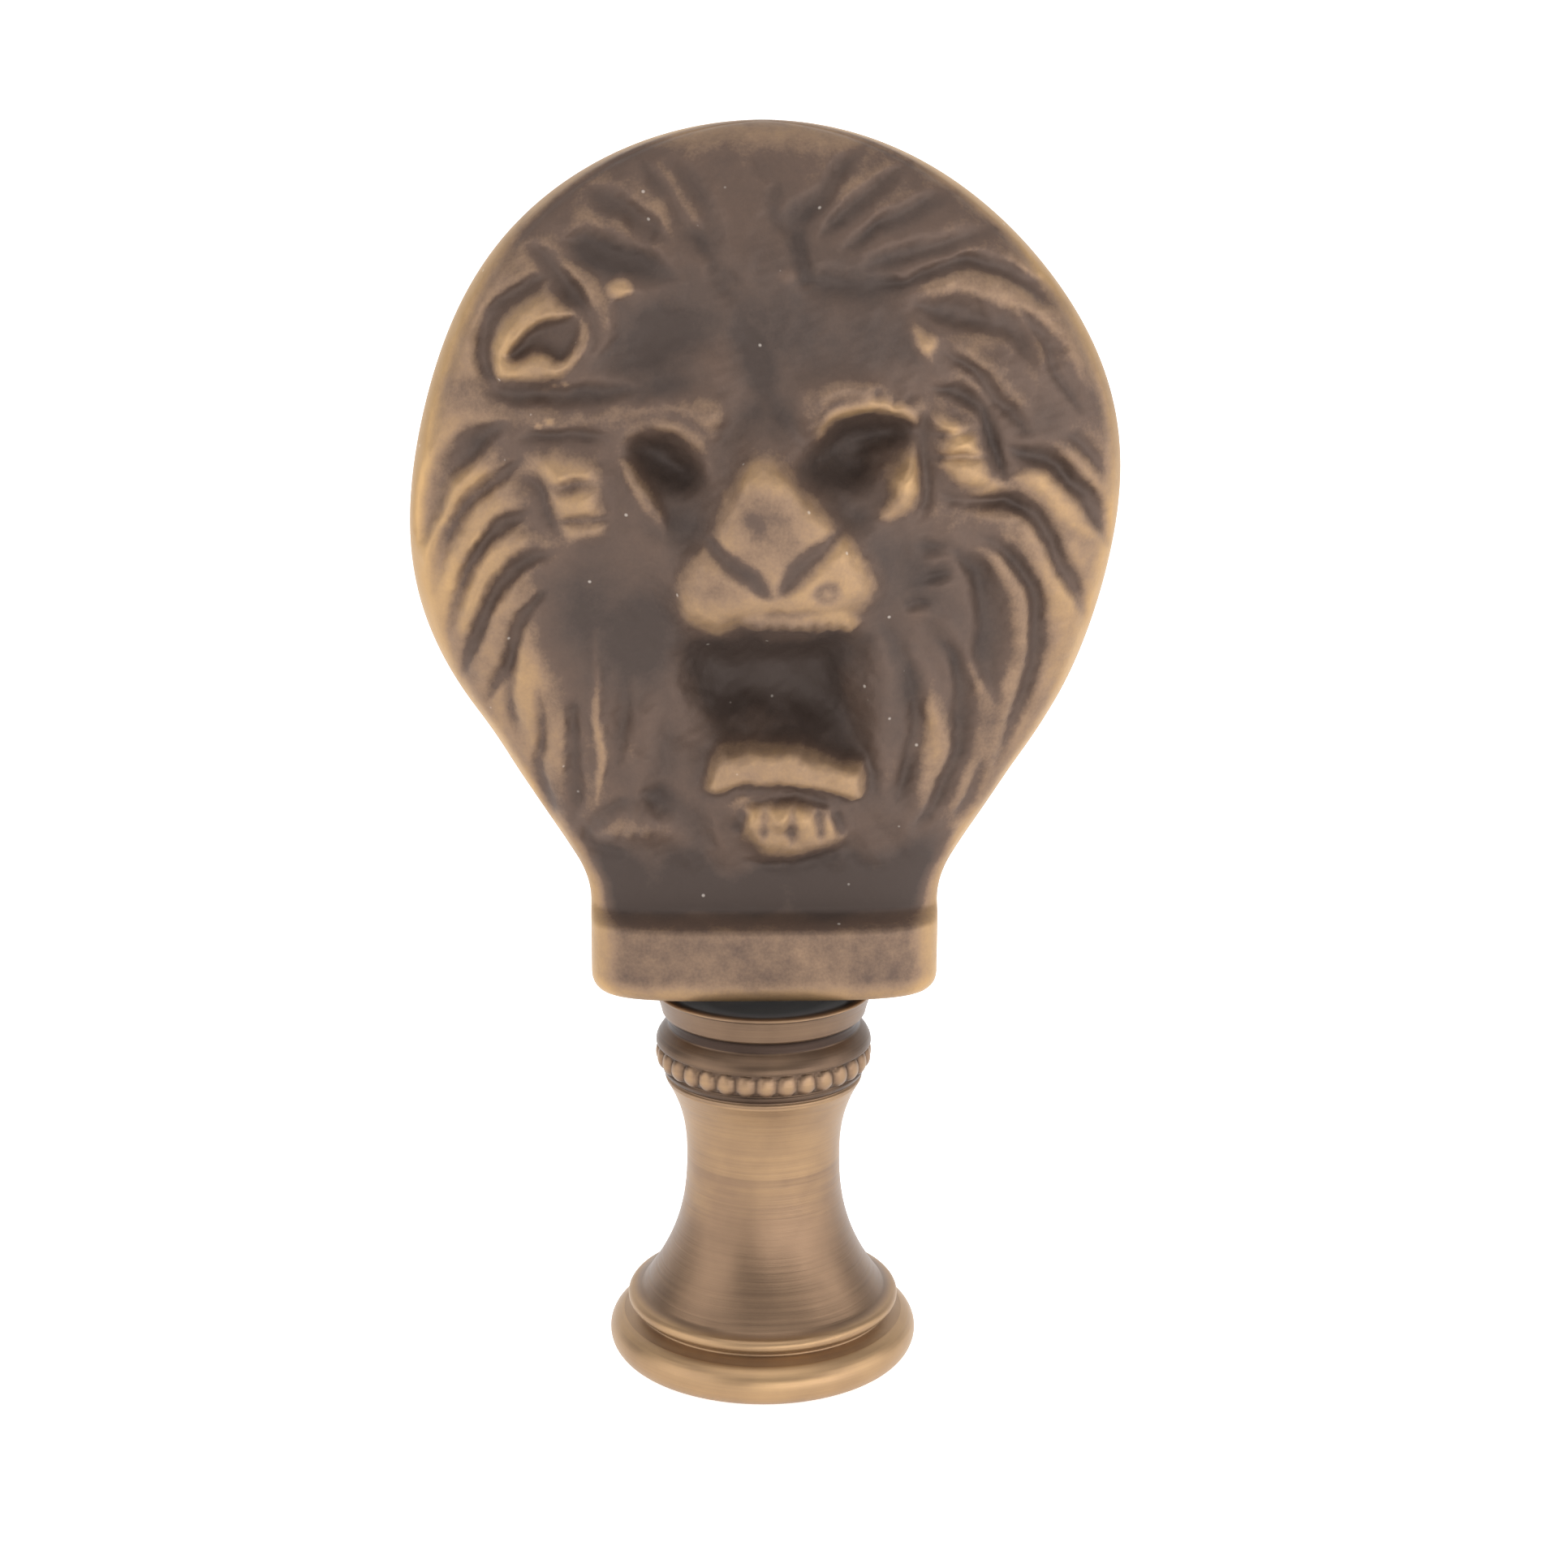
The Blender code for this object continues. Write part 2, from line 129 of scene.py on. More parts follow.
def wander(a, b, seed):
    """Soft waves that never repeat in the size shown: a sum of turned sines, -1 to 1."""
    rng = np.random.default_rng(seed)
    total = np.zeros(np.broadcast(a, b).shape)
    for _ in range(7):
        turn = rng.uniform(0.0, 2.0 * math.pi)
        pace = rng.uniform(0.6, 1.7)
        start = rng.uniform(0.0, 2.0 * math.pi)
        total = total + np.sin(pace * (a * math.cos(turn) + b * math.sin(turn)) + start)
    return total / 7.0


def unevenness(u, w, seed, broad, broad_pace, fine, fine_pace):
    """Broad waves and, with the next seed, fine ones: their heights and paces are given."""
    return (broad * wander(broad_pace * u, broad_pace * w, seed)
            + fine * wander(fine_pace * u, fine_pace * w, seed + 1))


class Drawing:
    """Raster in drawing millimetres that forms are added to, read back between its points."""

    def __init__(self):
        self.u = np.arange(-WIDE_U, WIDE_U, RASTER)
        self.w = np.arange(LOW_W, HIGH_W, RASTER)
        self.h = np.zeros((len(self.w), len(self.u)))

    def window(self, low, high):
        """Slices and grids of the part of the raster between two corners."""
        i0, i1 = np.searchsorted(self.u, (low[0], high[0]))
        j0, j1 = np.searchsorted(self.w, (low[1], high[1]))
        part = (slice(j0, j1), slice(i0, i1))
        return part, *np.meshgrid(self.u[i0:i1], self.w[j0:j1])

    def mound(self, amount, centre, size, tilt=0.0, power=2.0):
        """Adds an oval swelling: (1 - r^power)^2, r being the turned, scaled distance."""
        reach = max(size)
        part, u, w = self.window((centre[0] - reach, centre[1] - reach),
                                 (centre[0] + reach, centre[1] + reach))
        a = math.radians(tilt)
        p = ((u - centre[0]) * math.cos(a) + (w - centre[1]) * math.sin(a)) / size[0]
        q = ((w - centre[1]) * math.cos(a) - (u - centre[0]) * math.sin(a)) / size[1]
        r = np.clip(np.hypot(p, q), 0.0, 1.0)
        self.h[part] += amount * (1.0 - r ** power) ** 2

    def mounds(self, rows):
        """Adds a mound for each row of amount, place across and up, size, and tilt and power if any."""
        for amount, u, w, wide, tall, *shape in rows:
            self.mound(amount, (u, w), (wide, tall), *shape)

    def stroke(self, amount, width, points, taper=0.3, flat=2.0, lean=0.0, tip=0.25):
        """Adds a swelling along a curve through the points.

        Its height over the distance r from the curve is (1 - r^flat)^2. Both the width and
        the height narrow to the tip's share at the ends, and lean widens one side.
        """
        pts = np.array(points, float)
        line = curve(pts, 9)
        reach = width * (1.0 + abs(lean))
        part, u, w = self.window(line.min(0) - reach, line.max(0) + reach)
        best = np.full(u.shape, 1e9)
        where = np.zeros(u.shape)
        side = np.ones(u.shape)
        count = len(line) - 1
        for i in range(count):
            d = line[i + 1] - line[i]
            pu = u - line[i, 0]
            pw = w - line[i, 1]
            k = np.clip((pu * d[0] + pw * d[1]) / (d @ d), 0.0, 1.0)
            off = np.hypot(pu - k * d[0], pw - k * d[1])
            nearer = off < best
            best = np.where(nearer, off, best)
            where = np.where(nearer, (i + k) / count, where)
            beside = (pu * d[1] - pw * d[0]) / math.hypot(*d)
            side = np.where(nearer, np.tanh(4.0 * beside / width), side)
        ends = np.sin(0.5 * math.pi * np.clip(np.minimum(where, 1.0 - where) / taper, 0.0, 1.0))
        local = width * (tip + (1.0 - tip) * ends) * (1.0 + lean * side)
        r = np.clip(best / local, 0.0, 1.0)
        self.h[part] += amount * (1.0 - r ** flat) ** 2 * (tip + (1.0 - tip) * ends)

    def area(self, amount, soft, points, lean=(0.0, 0.0)):
        """Adds a plateau inside a smooth closed outline, easing up over the soft distance.

        Lean tilts its top: the height changes by those shares per millimetre across and up.
        """
        pts = np.array(points, float)
        line = curve(pts, 6, True)
        part, u, w = self.window(line.min(0) - soft, line.max(0) + soft)
        best = np.full(u.shape, 1e9)
        inside = np.zeros(u.shape, bool)
        for p, q in zip(line, np.roll(line, -1, axis=0)):
            d = q - p
            k = np.clip(((u - p[0]) * d[0] + (w - p[1]) * d[1]) / (d @ d), 0.0, 1.0)
            best = np.minimum(best, np.hypot(u - p[0] - k * d[0], w - p[1] - k * d[1]))
            if p[1] != q[1]:
                cross = p[0] + (w - p[1]) * d[0] / d[1]
                inside ^= ((w < p[1]) != (w < q[1])) & (u < cross)
        mid = line.mean(0)
        top = 1.0 + lean[0] * (u - mid[0]) + lean[1] * (w - mid[1])
        self.h[part] += amount * top * blurred(smooth(np.where(inside, best, 0.0) / soft), 0.16 * soft)

    def sunk(self, radius):
        """Drawing of how far each point lies below the average around it."""
        below = Drawing()
        below.h = blurred(self.h, radius) - self.h
        return below

    def read(self, u, w):
        """Value at any points, weighted between the four nearest raster points."""
        x = np.clip((u - self.u[0]) / RASTER, 0.0, len(self.u) - 1.001)
        y = np.clip((w - self.w[0]) / RASTER, 0.0, len(self.w) - 1.001)
        i = x.astype(int)
        j = y.astype(int)
        fx = x - i
        fy = y - j
        h = self.h
        low = h[j, i] * (1.0 - fx) + h[j, i + 1] * fx
        high = h[j + 1, i] * (1.0 - fx) + h[j + 1, i + 1] * fx
        return low * (1.0 - fy) + high * fy


def curve(pts, steps, closed=False):
    """Smooth line through the points: each span is a cubic that leaves along its neighbours."""
    if closed:
        ends = np.vstack([pts[-1:], pts, pts[:2]])
    else:
        ends = np.vstack([2.0 * pts[0] - pts[1], pts, 2.0 * pts[-1] - pts[-2]])
    t = np.arange(steps)[:, None] / steps
    out = []
    for i in range(1, len(ends) - 2):
        a, b, c, d = ends[i - 1:i + 3]
        out.append(0.5 * (2.0 * b + (c - a) * t + (2.0 * a - 5.0 * b + 4.0 * c - d) * t ** 2
                          + (3.0 * b - a - 3.0 * c + d) * t ** 3))
    return np.vstack(out if closed else out + [pts[-1:]])


def blurred(grid, radius):
    """Grid averaged over a square of the radius, three times over."""
    n = max(1, int(round(radius / RASTER)))
    for _ in range(3):
        for axis in (0, 1):
            padding = [(n + 1, n) if a == axis else (0, 0) for a in (0, 1)]
            total = np.cumsum(np.pad(grid, padding, mode="edge"), axis=axis)
            front = np.take(total, range(2 * n + 1, total.shape[axis]), axis=axis)
            behind = np.take(total, range(0, total.shape[axis] - 2 * n - 1), axis=axis)
            grid = (front - behind) / (2 * n + 1)
    return grid


# Outlines of the carved forms on the drawing, in millimetres
MUZZLE = [(-1.1, 48.0), (-2.2, 46.7), (-3.0, 45.2), (-3.3, 44.1), (-4.2, 43.2), (-4.9, 41.6),
          (-4.6, 39.9), (-3.3, 38.6), (-1.9, 38.6), (-1.0, 39.0), (0.0, 39.5), (1.5, 39.5), (3.5, 39.4),
          (4.9, 39.9), (5.8, 41.1), (5.9, 42.5), (5.2, 43.8), (4.3, 44.6), (4.0, 45.2), (3.1, 46.1),
          (2.1, 47.0), (1.3, 47.7), (0.2, 48.3)]
NOSE = [(-1.1, 47.5), (-1.9, 46.5), (-2.5, 45.2), (-2.6, 44.0), (-1.0, 42.8), (0.4, 41.8), (1.1, 42.5),
        (2.2, 43.8), (3.5, 44.8), (2.7, 45.6), (1.8, 46.4), (1.2, 47.1), (0.1, 47.8)]
VEE = ([(-2.8, 44.0), (-1.2, 42.5), (0.5, 41.1)], [(3.7, 44.4), (2.1, 42.9), (0.6, 41.1)])
CHIN_SLOTS = [[(-0.9, 31.0), (-1.3, 29.4)], [(0.0, 31.1), (-0.15, 29.2)],
              [(1.35, 31.1), (1.4, 29.1)], [(2.5, 31.0), (2.75, 29.3)],
              [(3.4, 30.8), (3.8, 29.6)]]
MOUTH = [(-4.4, 38.4), (-3.4, 39.5), (-2.2, 39.3), (-0.8, 39.9), (1.6, 39.7), (4.3, 39.7), (5.2, 38.6),
         (5.2, 36.0), (5.0, 33.2), (2.6, 33.2), (0.0, 33.6), (-2.2, 33.6), (-3.6, 34.6), (-4.3, 36.4)]
LOWER_LIP = [(-2.5, 33.9), (-0.6, 34.2), (2.0, 34.1), (4.0, 33.6), (5.0, 33.2), (5.0, 31.4),
             (3.6, 31.4), (1.6, 31.9), (-0.6, 31.9), (-2.6, 31.4), (-3.2, 31.8)]
LEFT_EYE = [(-7.0, 48.4), (-6.0, 49.3), (-4.9, 49.4), (-3.7, 48.8), (-2.7, 47.7), (-2.2, 46.6),
            (-2.9, 45.6), (-4.9, 45.5), (-6.3, 46.8)]
RIGHT_EYE = [(1.4, 46.7), (1.6, 48.0), (2.7, 49.5), (4.1, 50.3), (6.0, 50.3), (7.4, 49.9), (7.6, 49.0),
             (6.9, 48.0), (6.0, 47.1), (5.5, 46.0), (4.3, 45.5), (2.8, 45.5)]
RIGHT_LID = [(5.7, 47.1), (6.6, 48.0), (7.3, 48.0), (7.5, 46.8), (7.3, 45.6), (6.6, 44.8), (5.4, 44.4),
             (5.1, 45.1), (5.7, 46.1)]
RIGHT_BROW = [(1.0, 50.0), (1.3, 51.4), (2.6, 52.3), (4.4, 52.3), (6.2, 51.4), (7.6, 50.6), (7.6, 49.4),
              (6.2, 50.1), (4.7, 50.1), (3.3, 49.6), (2.4, 48.4), (1.5, 48.6)]
LEFT_BROW = [(-1.6, 49.0), (-1.2, 50.2), (-2.2, 51.3), (-4.6, 51.3), (-7.2, 50.7), (-9.6, 50.1),
             (-9.4, 49.3), (-6.8, 49.5), (-4.9, 49.5), (-3.4, 48.7), (-2.2, 47.6)]
LEFT_CHEEK = [(-11.7, 47.8), (-10.4, 48.5), (-8.7, 48.4), (-7.4, 47.7), (-7.1, 46.0), (-7.0, 44.6),
              (-7.6, 43.7), (-9.4, 43.6), (-10.3, 44.8), (-10.9, 46.2)]
RIGHT_CHEEK = [(7.7, 50.4), (8.8, 50.0), (9.9, 49.4), (10.4, 48.3), (10.9, 47.0), (11.4, 46.5),
               (10.2, 46.4), (9.0, 46.6), (8.1, 47.4), (8.0, 48.8)]
EAR_DISC = [(-12.6, 51.5), (-12.85, 52.8), (-12.5, 54.0), (-11.6, 55.1), (-10.2, 55.7), (-9.2, 55.2),
            (-8.1, 54.3), (-7.9, 53.3), (-8.6, 52.2), (-9.6, 51.5), (-11.0, 51.3)]
EAR_HOLLOW = [(-12.3, 52.6), (-11.4, 53.8), (-10.2, 54.6), (-8.8, 54.8), (-8.2, 53.9), (-8.6, 52.8),
              (-9.5, 52.0), (-10.5, 52.5), (-11.6, 52.1)]
EAR_LOCK = [(6.4, 54.7), (7.5, 54.2), (8.4, 53.6), (8.0, 52.6), (7.6, 52.1), (6.9, 52.7), (6.5, 53.6)]
BROW_HOLLOW = [(-7.0, 55.0), (-6.8, 53.2), (-8.6, 51.6), (-7.6, 50.9), (-4.6, 51.6), (-1.6, 52.2),
               (-0.8, 49.4), (0.6, 49.4), (0.9, 51.8), (0.6, 53.8), (-1.4, 54.9), (-3.6, 56.0),
               (-5.4, 56.2)]
LEFT_TUFT = [(-8.2, 29.7), (-7.3, 30.6), (-6.0, 31.1), (-4.9, 30.4), (-3.9, 29.3), (-5.4, 28.7),
             (-7.2, 28.8)]
CHIN_TUFT = [(-1.6, 30.2), (-1.2, 30.9), (0.2, 31.3), (1.6, 31.3), (3.0, 31.0), (4.0, 30.4),
             (4.3, 29.6), (3.6, 28.7), (2.2, 28.1), (0.8, 28.0), (-0.5, 28.4), (-1.4, 29.3)]


def carve_face(d):
    """Brows, nose, muzzle, mouth, chin and cheeks as heights above the plain front."""
    # snout, nose and the two lobes of the muzzle
    d.mound(1.5, (0.4, 43.0), (6.6, 6.2), power=2.6)
    d.stroke(0.9, 2.3, [(0.1, 50.0), (0.1, 47.6), (0.4, 44.6)], 0.5)
    d.area(1.3, 1.5, MUZZLE, (0.0, -0.05))
    d.area(0.45, 1.2, NOSE)
    for groove, width in zip(VEE, (0.65, 0.8)):
        d.stroke(-0.6, width, groove, 0.2)
    d.stroke(0.7, 0.7, [(-1.1, 39.8), (1.4, 39.7), (4.7, 39.9)], 0.15, 3.0)
    for tooth in (-0.2, 0.55, 1.3, 1.95, 2.7, 3.4, 4.1):
        d.mound(0.6, (tooth, 39.55), (0.36, 0.6))
    d.mound(-0.35, (2.9, 41.4), (0.85, 0.7), power=4.0)
    d.mound(0.3, (3.0, 41.35), (0.5, 0.4))
    # mouth with the lip before it, and the chin's tuft
    d.area(-2.9, 2.5, MOUTH)
    d.mound(-0.9, (-4.0, 37.2), (4.6, 5.4))
    d.area(1.7, 0.6, LOWER_LIP, (0.03, 0.0))
    d.mound(0.9, (1.0, 31.2), (4.4, 1.6))
    d.stroke(-0.35, 0.4, [(-1.4, 30.9), (0.2, 31.45), (2.1, 31.45), (3.6, 30.9)])
    d.area(1.2, 1.1, CHIN_TUFT)
    for slot in CHIN_SLOTS:
        d.stroke(-0.42, 0.45, slot)
    d.stroke(-0.35, 0.4, [(-1.2, 28.2), (0.7, 27.8), (2.5, 28.15), (4.2, 29.1)])
    d.area(0.6, 1.1, LEFT_TUFT)
    d.stroke(-0.3, 0.6, [(-8.5, 29.5), (-7.6, 30.5), (-6.3, 31.2)])
    d.stroke(-0.5, 1.1, [(-6.0, 31.5), (-4.7, 31.1), (-3.6, 30.2), (-2.4, 28.8)])
    d.stroke(-0.3, 0.5, [(-8.7, 29.8), (-8.2, 28.8), (-6.6, 28.3)])
    for x in (-7.2, -6.3, -5.3):
        d.stroke(-0.14, 0.3, [(0.5 * x - 2.9, 30.6), (x, 28.9)])
    d.stroke(0.5, 1.3, [(5.5, 39.4), (5.9, 36.0), (5.7, 31.6)], 0.3)
    d.stroke(0.35, 1.2, [(-5.2, 36.6), (-5.7, 34.0), (-6.3, 31.4)], 0.4)
    d.stroke(0.3, 0.4, [(-8.0, 39.6), (-8.1, 36.0), (-7.9, 33.0), (-8.1, 30.9)], 0.4)
    d.mound(-0.6, (-7.2, 40.6), (3.0, 4.2), 8.0)
    # brows, eyes and their lids
    d.area(1.0, 1.3, RIGHT_BROW)
    d.stroke(0.5, 0.6, [(2.4, 48.4), (3.3, 49.7), (4.7, 50.25), (6.2, 50.2), (7.3, 49.5)])
    d.area(0.8, 1.2, LEFT_BROW)
    d.stroke(0.35, 0.6, [(-5.4, 49.5), (-4.0, 49.1), (-2.5, 47.9)])
    d.area(-1.9, 1.6, LEFT_EYE)
    d.area(-2.0, 1.6, RIGHT_EYE)
    d.stroke(0.7, 0.6, [(-6.9, 47.8), (-6.0, 46.6), (-5.4, 45.6), (-4.8, 44.0)])
    d.area(1.0, 0.9, RIGHT_LID)
    d.mound(-0.5, (3.8, 45.0), (2.0, 1.4), -10.0)
    d.mound(-0.6, (-3.8, 45.0), (2.2, 2.2), -20.0)
    d.stroke(-0.4, 0.5, [(7.5, 50.4), (7.55, 47.6), (7.5, 45.0)])
    for x, z in ((5.25, 50.85), (6.1, 50.6), (6.8, 50.7)):
        d.stroke(-0.28, 0.3, [(x + 0.1, z + 0.35), (x - 0.1, z - 0.3)])
    for x in (-5.8, -5.0, -4.3, -3.5):
        d.stroke(-0.12, 0.25, [(x - 0.1, 51.0), (x + 0.1, 50.2)])
    # cheeks with their notches and whisker pits
    d.area(0.8, 1.3, LEFT_CHEEK)
    for w, left, right in ((46.6, -10.3, -7.9), (44.9, -9.8, -7.4)):
        d.stroke(-0.55, 0.5, [(left, w - 0.1), (0.5 * (left + right), w), (right, w + 0.1)], 0.4)
    d.stroke(-0.35, 0.3, [(-11.4, 47.1), (-10.6, 46.2), (-10.1, 45.0), (-9.5, 43.8)])
    d.stroke(-0.4, 0.5, [(-11.6, 48.8), (-9.4, 48.9), (-7.4, 48.8)])
    d.area(0.8, 0.8, RIGHT_CHEEK)
    for w, end in ((49.1, 9.8), (47.95, 10.2)):
        d.stroke(-0.5, 0.36, [(7.9, w), (0.5 * (end + 7.9), w), (end, w + 0.1)], 0.3)
    d.stroke(-0.35, 0.5, [(8.0, 46.4), (9.4, 45.9), (11.0, 45.7), (12.5, 45.4)])
    for x, w in ((8.0, 43.7), (8.2, 42.35), (7.3, 40.9)):
        d.stroke(-0.22, 0.36, [(x - 0.7, w - 0.2), (x, w), (x + 0.8, w + 0.1)], 0.3)
        d.stroke(0.22, 0.3, [(x - 0.5, w - 0.75), (x + 0.2, w - 0.6), (x + 0.9, w - 0.5)], 0.3)


def carve_ear(d):
    """Left ear: a raised disc with a hollow in it, a ring groove and an outer rim."""
    d.area(0.75, 0.55, EAR_DISC)
    d.area(-1.0, 0.6, EAR_HOLLOW)
    d.stroke(-0.5, 0.55, [(-10.0, 56.3), (-11.2, 55.8), (-12.3, 55.0), (-13.0, 53.8), (-13.15, 52.4),
                          (-12.7, 51.1)], 0.15)
    d.stroke(-0.55, 0.75, [(-10.9, 57.8), (-10.1, 56.9), (-9.2, 55.9), (-8.3, 54.8)])
    d.stroke(0.45, 0.7, [(-9.6, 57.0), (-8.4, 56.2), (-7.6, 54.9), (-7.5, 53.4), (-8.5, 52.0)])
    d.stroke(-0.5, 0.7, [(-13.2, 50.9), (-10.9, 50.85), (-8.8, 50.8), (-6.0, 51.1)])


def carve_mane(d):
    """Locks of the mane: furrows between them, crests along some, and broad hollows."""
    wide = [
        (0.7, 1.2, [(-9.4, 57.9), (-8.0, 57.6), (-6.4, 57.1), (-4.4, 56.3)]),
        (0.65, 0.8, [(-8.3, 60.3), (-6.9, 59.5), (-5.6, 58.7), (-4.4, 57.9)]),
        (0.45, 0.6, [(-5.9, 61.7), (-4.5, 59.9), (-3.6, 58.3), (-2.6, 57.4)]),
        (0.3, 0.8, [(-2.6, 57.2), (-1.4, 55.6), (-0.1, 54.2)]),
        (0.22, 1.0, [(-1.2, 54.6), (-0.6, 52.4), (0.0, 50.6)]),
        (0.45, 0.6, [(4.5, 62.4), (2.9, 60.6), (1.8, 58.7)]),
        (0.45, 0.55, [(6.8, 61.6), (5.0, 60.4), (3.6, 59.2), (2.7, 58.2)]),
        (0.4, 0.5, [(8.8, 60.3), (6.5, 59.3), (4.9, 58.5), (3.6, 57.7)]),
        (0.4, 0.5, [(10.6, 58.6), (7.9, 57.8), (6.0, 57.2), (4.4, 56.8)]),
        (0.4, 0.85, [(-4.6, 61.6), (-3.3, 60.4), (-2.7, 58.6), (-2.4, 56.6)]),
        (0.35, 0.7, [(1.9, 60.2), (1.4, 58.2), (2.0, 55.8)]),
        (0.25, 0.6, [(0.6, 60.8), (0.4, 59.6), (0.9, 58.4)]),
        (0.4, 0.9, [(1.6, 56.2), (4.0, 55.9), (6.6, 56.0)]),
    ]
    for depth, width, points in wide:
        d.stroke(-depth, 1.2 * width, points)
    furrows = [
        (0.5, 0.6, [(5.4, 55.9), (7.2, 56.2), (8.8, 56.85), (10.6, 56.8), (12.2, 56.0), (13.2, 55.1)]),
        (0.5, 1.2, [(6.8, 55.1), (9.0, 54.5), (11.2, 54.0), (12.6, 52.4)]),
        (0.4, 0.5, [(11.9, 55.0), (12.9, 53.5), (13.7, 51.8), (14.9, 50.0)]),
        (0.2, 0.35, [(13.2, 54.0), (14.0, 52.5), (14.8, 50.9)]),
        (0.35, 0.5, [(8.3, 52.9), (9.7, 52.0), (11.0, 50.4), (12.6, 49.0)]),
        (0.55, 0.6, [(7.6, 51.3), (9.2, 50.8), (10.3, 50.0), (10.7, 48.3), (11.5, 46.8)]),
        (0.35, 0.5, [(14.0, 49.0), (15.1, 48.4), (16.0, 47.2)]),
        (0.6, 0.85, [(11.4, 48.5), (13.2, 47.7), (14.6, 46.6), (15.5, 45.3), (16.2, 43.6)]),
        (0.55, 0.8, [(9.8, 45.9), (11.8, 45.7), (13.2, 44.3), (14.4, 42.2), (15.3, 40.2)]),
        (0.5, 0.7, [(10.3, 44.3), (11.8, 43.1), (12.8, 41.1), (12.9, 38.9), (12.3, 36.5), (11.2, 33.0)]),
        (0.6, 1.3, [(8.9, 43.5), (10.2, 42.0), (10.6, 40.0), (10.5, 38.4), (11.1, 36.2)]),
        (0.45, 0.9, [(8.2, 39.3), (9.2, 38.0), (9.4, 36.2), (9.3, 34.0), (8.5, 31.6), (7.4, 29.8)]),
        (0.3, 0.8, [(6.9, 38.4), (7.2, 36.4), (7.0, 33.4), (6.3, 31.0)]),
        (0.3, 0.5, [(10.6, 33.4), (9.9, 31.6), (9.2, 30.2)]),
        (0.65, 1.25, [(-12.2, 49.4), (-13.6, 48.4), (-14.9, 47.0), (-15.7, 45.4), (-16.3, 43.5)]),
        (0.5, 0.7, [(-11.4, 47.7), (-12.6, 46.7), (-14.0, 45.7), (-15.0, 44.0), (-15.8, 41.4)]),
        (0.5, 0.7, [(-11.0, 45.4), (-12.4, 44.5), (-13.6, 43.1), (-14.4, 41.6), (-15.1, 39.3)]),
        (0.55, 0.8, [(-9.9, 43.3), (-11.6, 42.7), (-12.8, 41.2), (-13.6, 39.4), (-14.5, 37.2)]),
        (0.45, 0.65, [(-10.2, 41.6), (-11.3, 40.4), (-12.0, 38.8), (-12.6, 37.2), (-13.4, 35.9)]),
        (0.3, 0.5, [(-12.0, 38.8), (-12.15, 36.8), (-12.0, 34.4)]),
        (0.25, 0.4, [(-10.95, 36.8), (-10.65, 35.2), (-10.6, 33.4)]),
        (0.35, 0.6, [(-10.5, 34.4), (-10.85, 32.8), (-10.5, 31.2), (-9.9, 30.2)]),
        (0.35, 0.65, [(-9.0, 36.4), (-9.2, 34.4), (-9.0, 32.2), (-9.3, 30.2)]),
        (0.25, 0.7, [(-6.6, 37.4), (-6.7, 35.0), (-7.1, 32.8)]),
        (0.12, 0.25, [(9.6, 59.3), (11.1, 58.2), (12.5, 56.9), (13.7, 55.3), (14.8, 53.4), (15.5, 51.4)]),
    ]
    for depth, width, points in furrows:
        d.stroke(-1.2 * depth, 0.85 * width, points, lean=0.35 if points[0][0] < 0.0 else -0.35)
    crests = [
        (0.25, 0.5, [(5.8, 61.7), (4.0, 60.3), (2.5, 58.4)]),
        (0.2, 0.5, [(8.0, 60.8), (5.9, 59.7), (4.4, 58.8), (3.2, 57.9)]),
        (0.2, 0.5, [(9.8, 59.4), (7.2, 58.5), (5.5, 57.9), (4.0, 57.3)]),
        (0.3, 0.5, [(-5.0, 61.9), (-3.8, 60.2), (-3.0, 58.4)]),
        (0.6, 2.2, [(-1.2, 61.8), (-1.0, 58.8), (-0.3, 56.8), (1.2, 54.4)]),
        (0.25, 0.8, [(-9.0, 59.3), (-7.2, 58.6), (-5.4, 57.9), (-4.2, 57.0)]),
        (0.25, 0.9, [(-5.2, 60.4), (-4.2, 59.3), (-3.6, 58.0)]),
        (0.4, 0.9, [(6.8, 55.6), (8.4, 56.1), (10.2, 56.0), (11.6, 55.1)]),
        (0.25, 0.6, [(8.3, 53.6), (9.8, 52.9), (11.2, 51.6), (12.9, 49.7)]),
        (0.25, 0.6, [(11.6, 48.9), (13.4, 48.5), (14.8, 47.6), (15.9, 46.2)]),
        (0.4, 0.7, [(11.6, 46.9), (12.9, 46.9), (14.0, 45.7), (15.4, 44.2)]),
        (0.35, 0.7, [(10.1, 45.3), (11.3, 45.0), (12.8, 43.6), (13.9, 41.8), (14.4, 39.6), (13.6, 37.0)]),
        (0.35, 0.55, [(9.8, 43.8), (11.0, 42.9), (12.0, 41.2), (12.4, 39.4), (12.2, 37.4), (11.2, 34.6)]),
        (0.35, 0.6, [(8.0, 40.5), (9.1, 39.4), (10.0, 38.2), (10.3, 36.2)]),
        (0.5, 0.7, [(7.0, 38.9), (7.6, 37.0), (8.4, 35.0), (8.3, 33.2), (7.6, 31.4), (6.6, 29.5)]),
        (0.3, 0.7, [(-10.7, 39.8), (-11.3, 38.4), (-11.3, 36.4), (-11.3, 34.4)]),
        (0.3, 0.6, [(-9.8, 35.4), (-9.9, 33.8), (-10.0, 32.4)]),
        (0.3, 0.5, [(-12.2, 48.4), (-13.8, 47.2), (-14.9, 45.4), (-15.6, 42.8)]),
        (0.3, 0.5, [(-11.2, 46.2), (-13.1, 45.0), (-14.4, 43.2), (-15.0, 41.0)]),
        (0.3, 0.5, [(-10.9, 44.2), (-12.4, 43.2), (-13.6, 41.4), (-14.4, 39.2)]),
    ]
    for height, width, points in crests:
        d.stroke(0.6 * height, 1.4 * width, points)
    d.area(0.5, 0.7, EAR_LOCK)
    d.area(-0.6, 2.6, BROW_HOLLOW)
    d.mound(-0.5, (-5.4, 53.2), (4.2, 3.2), 10.0)
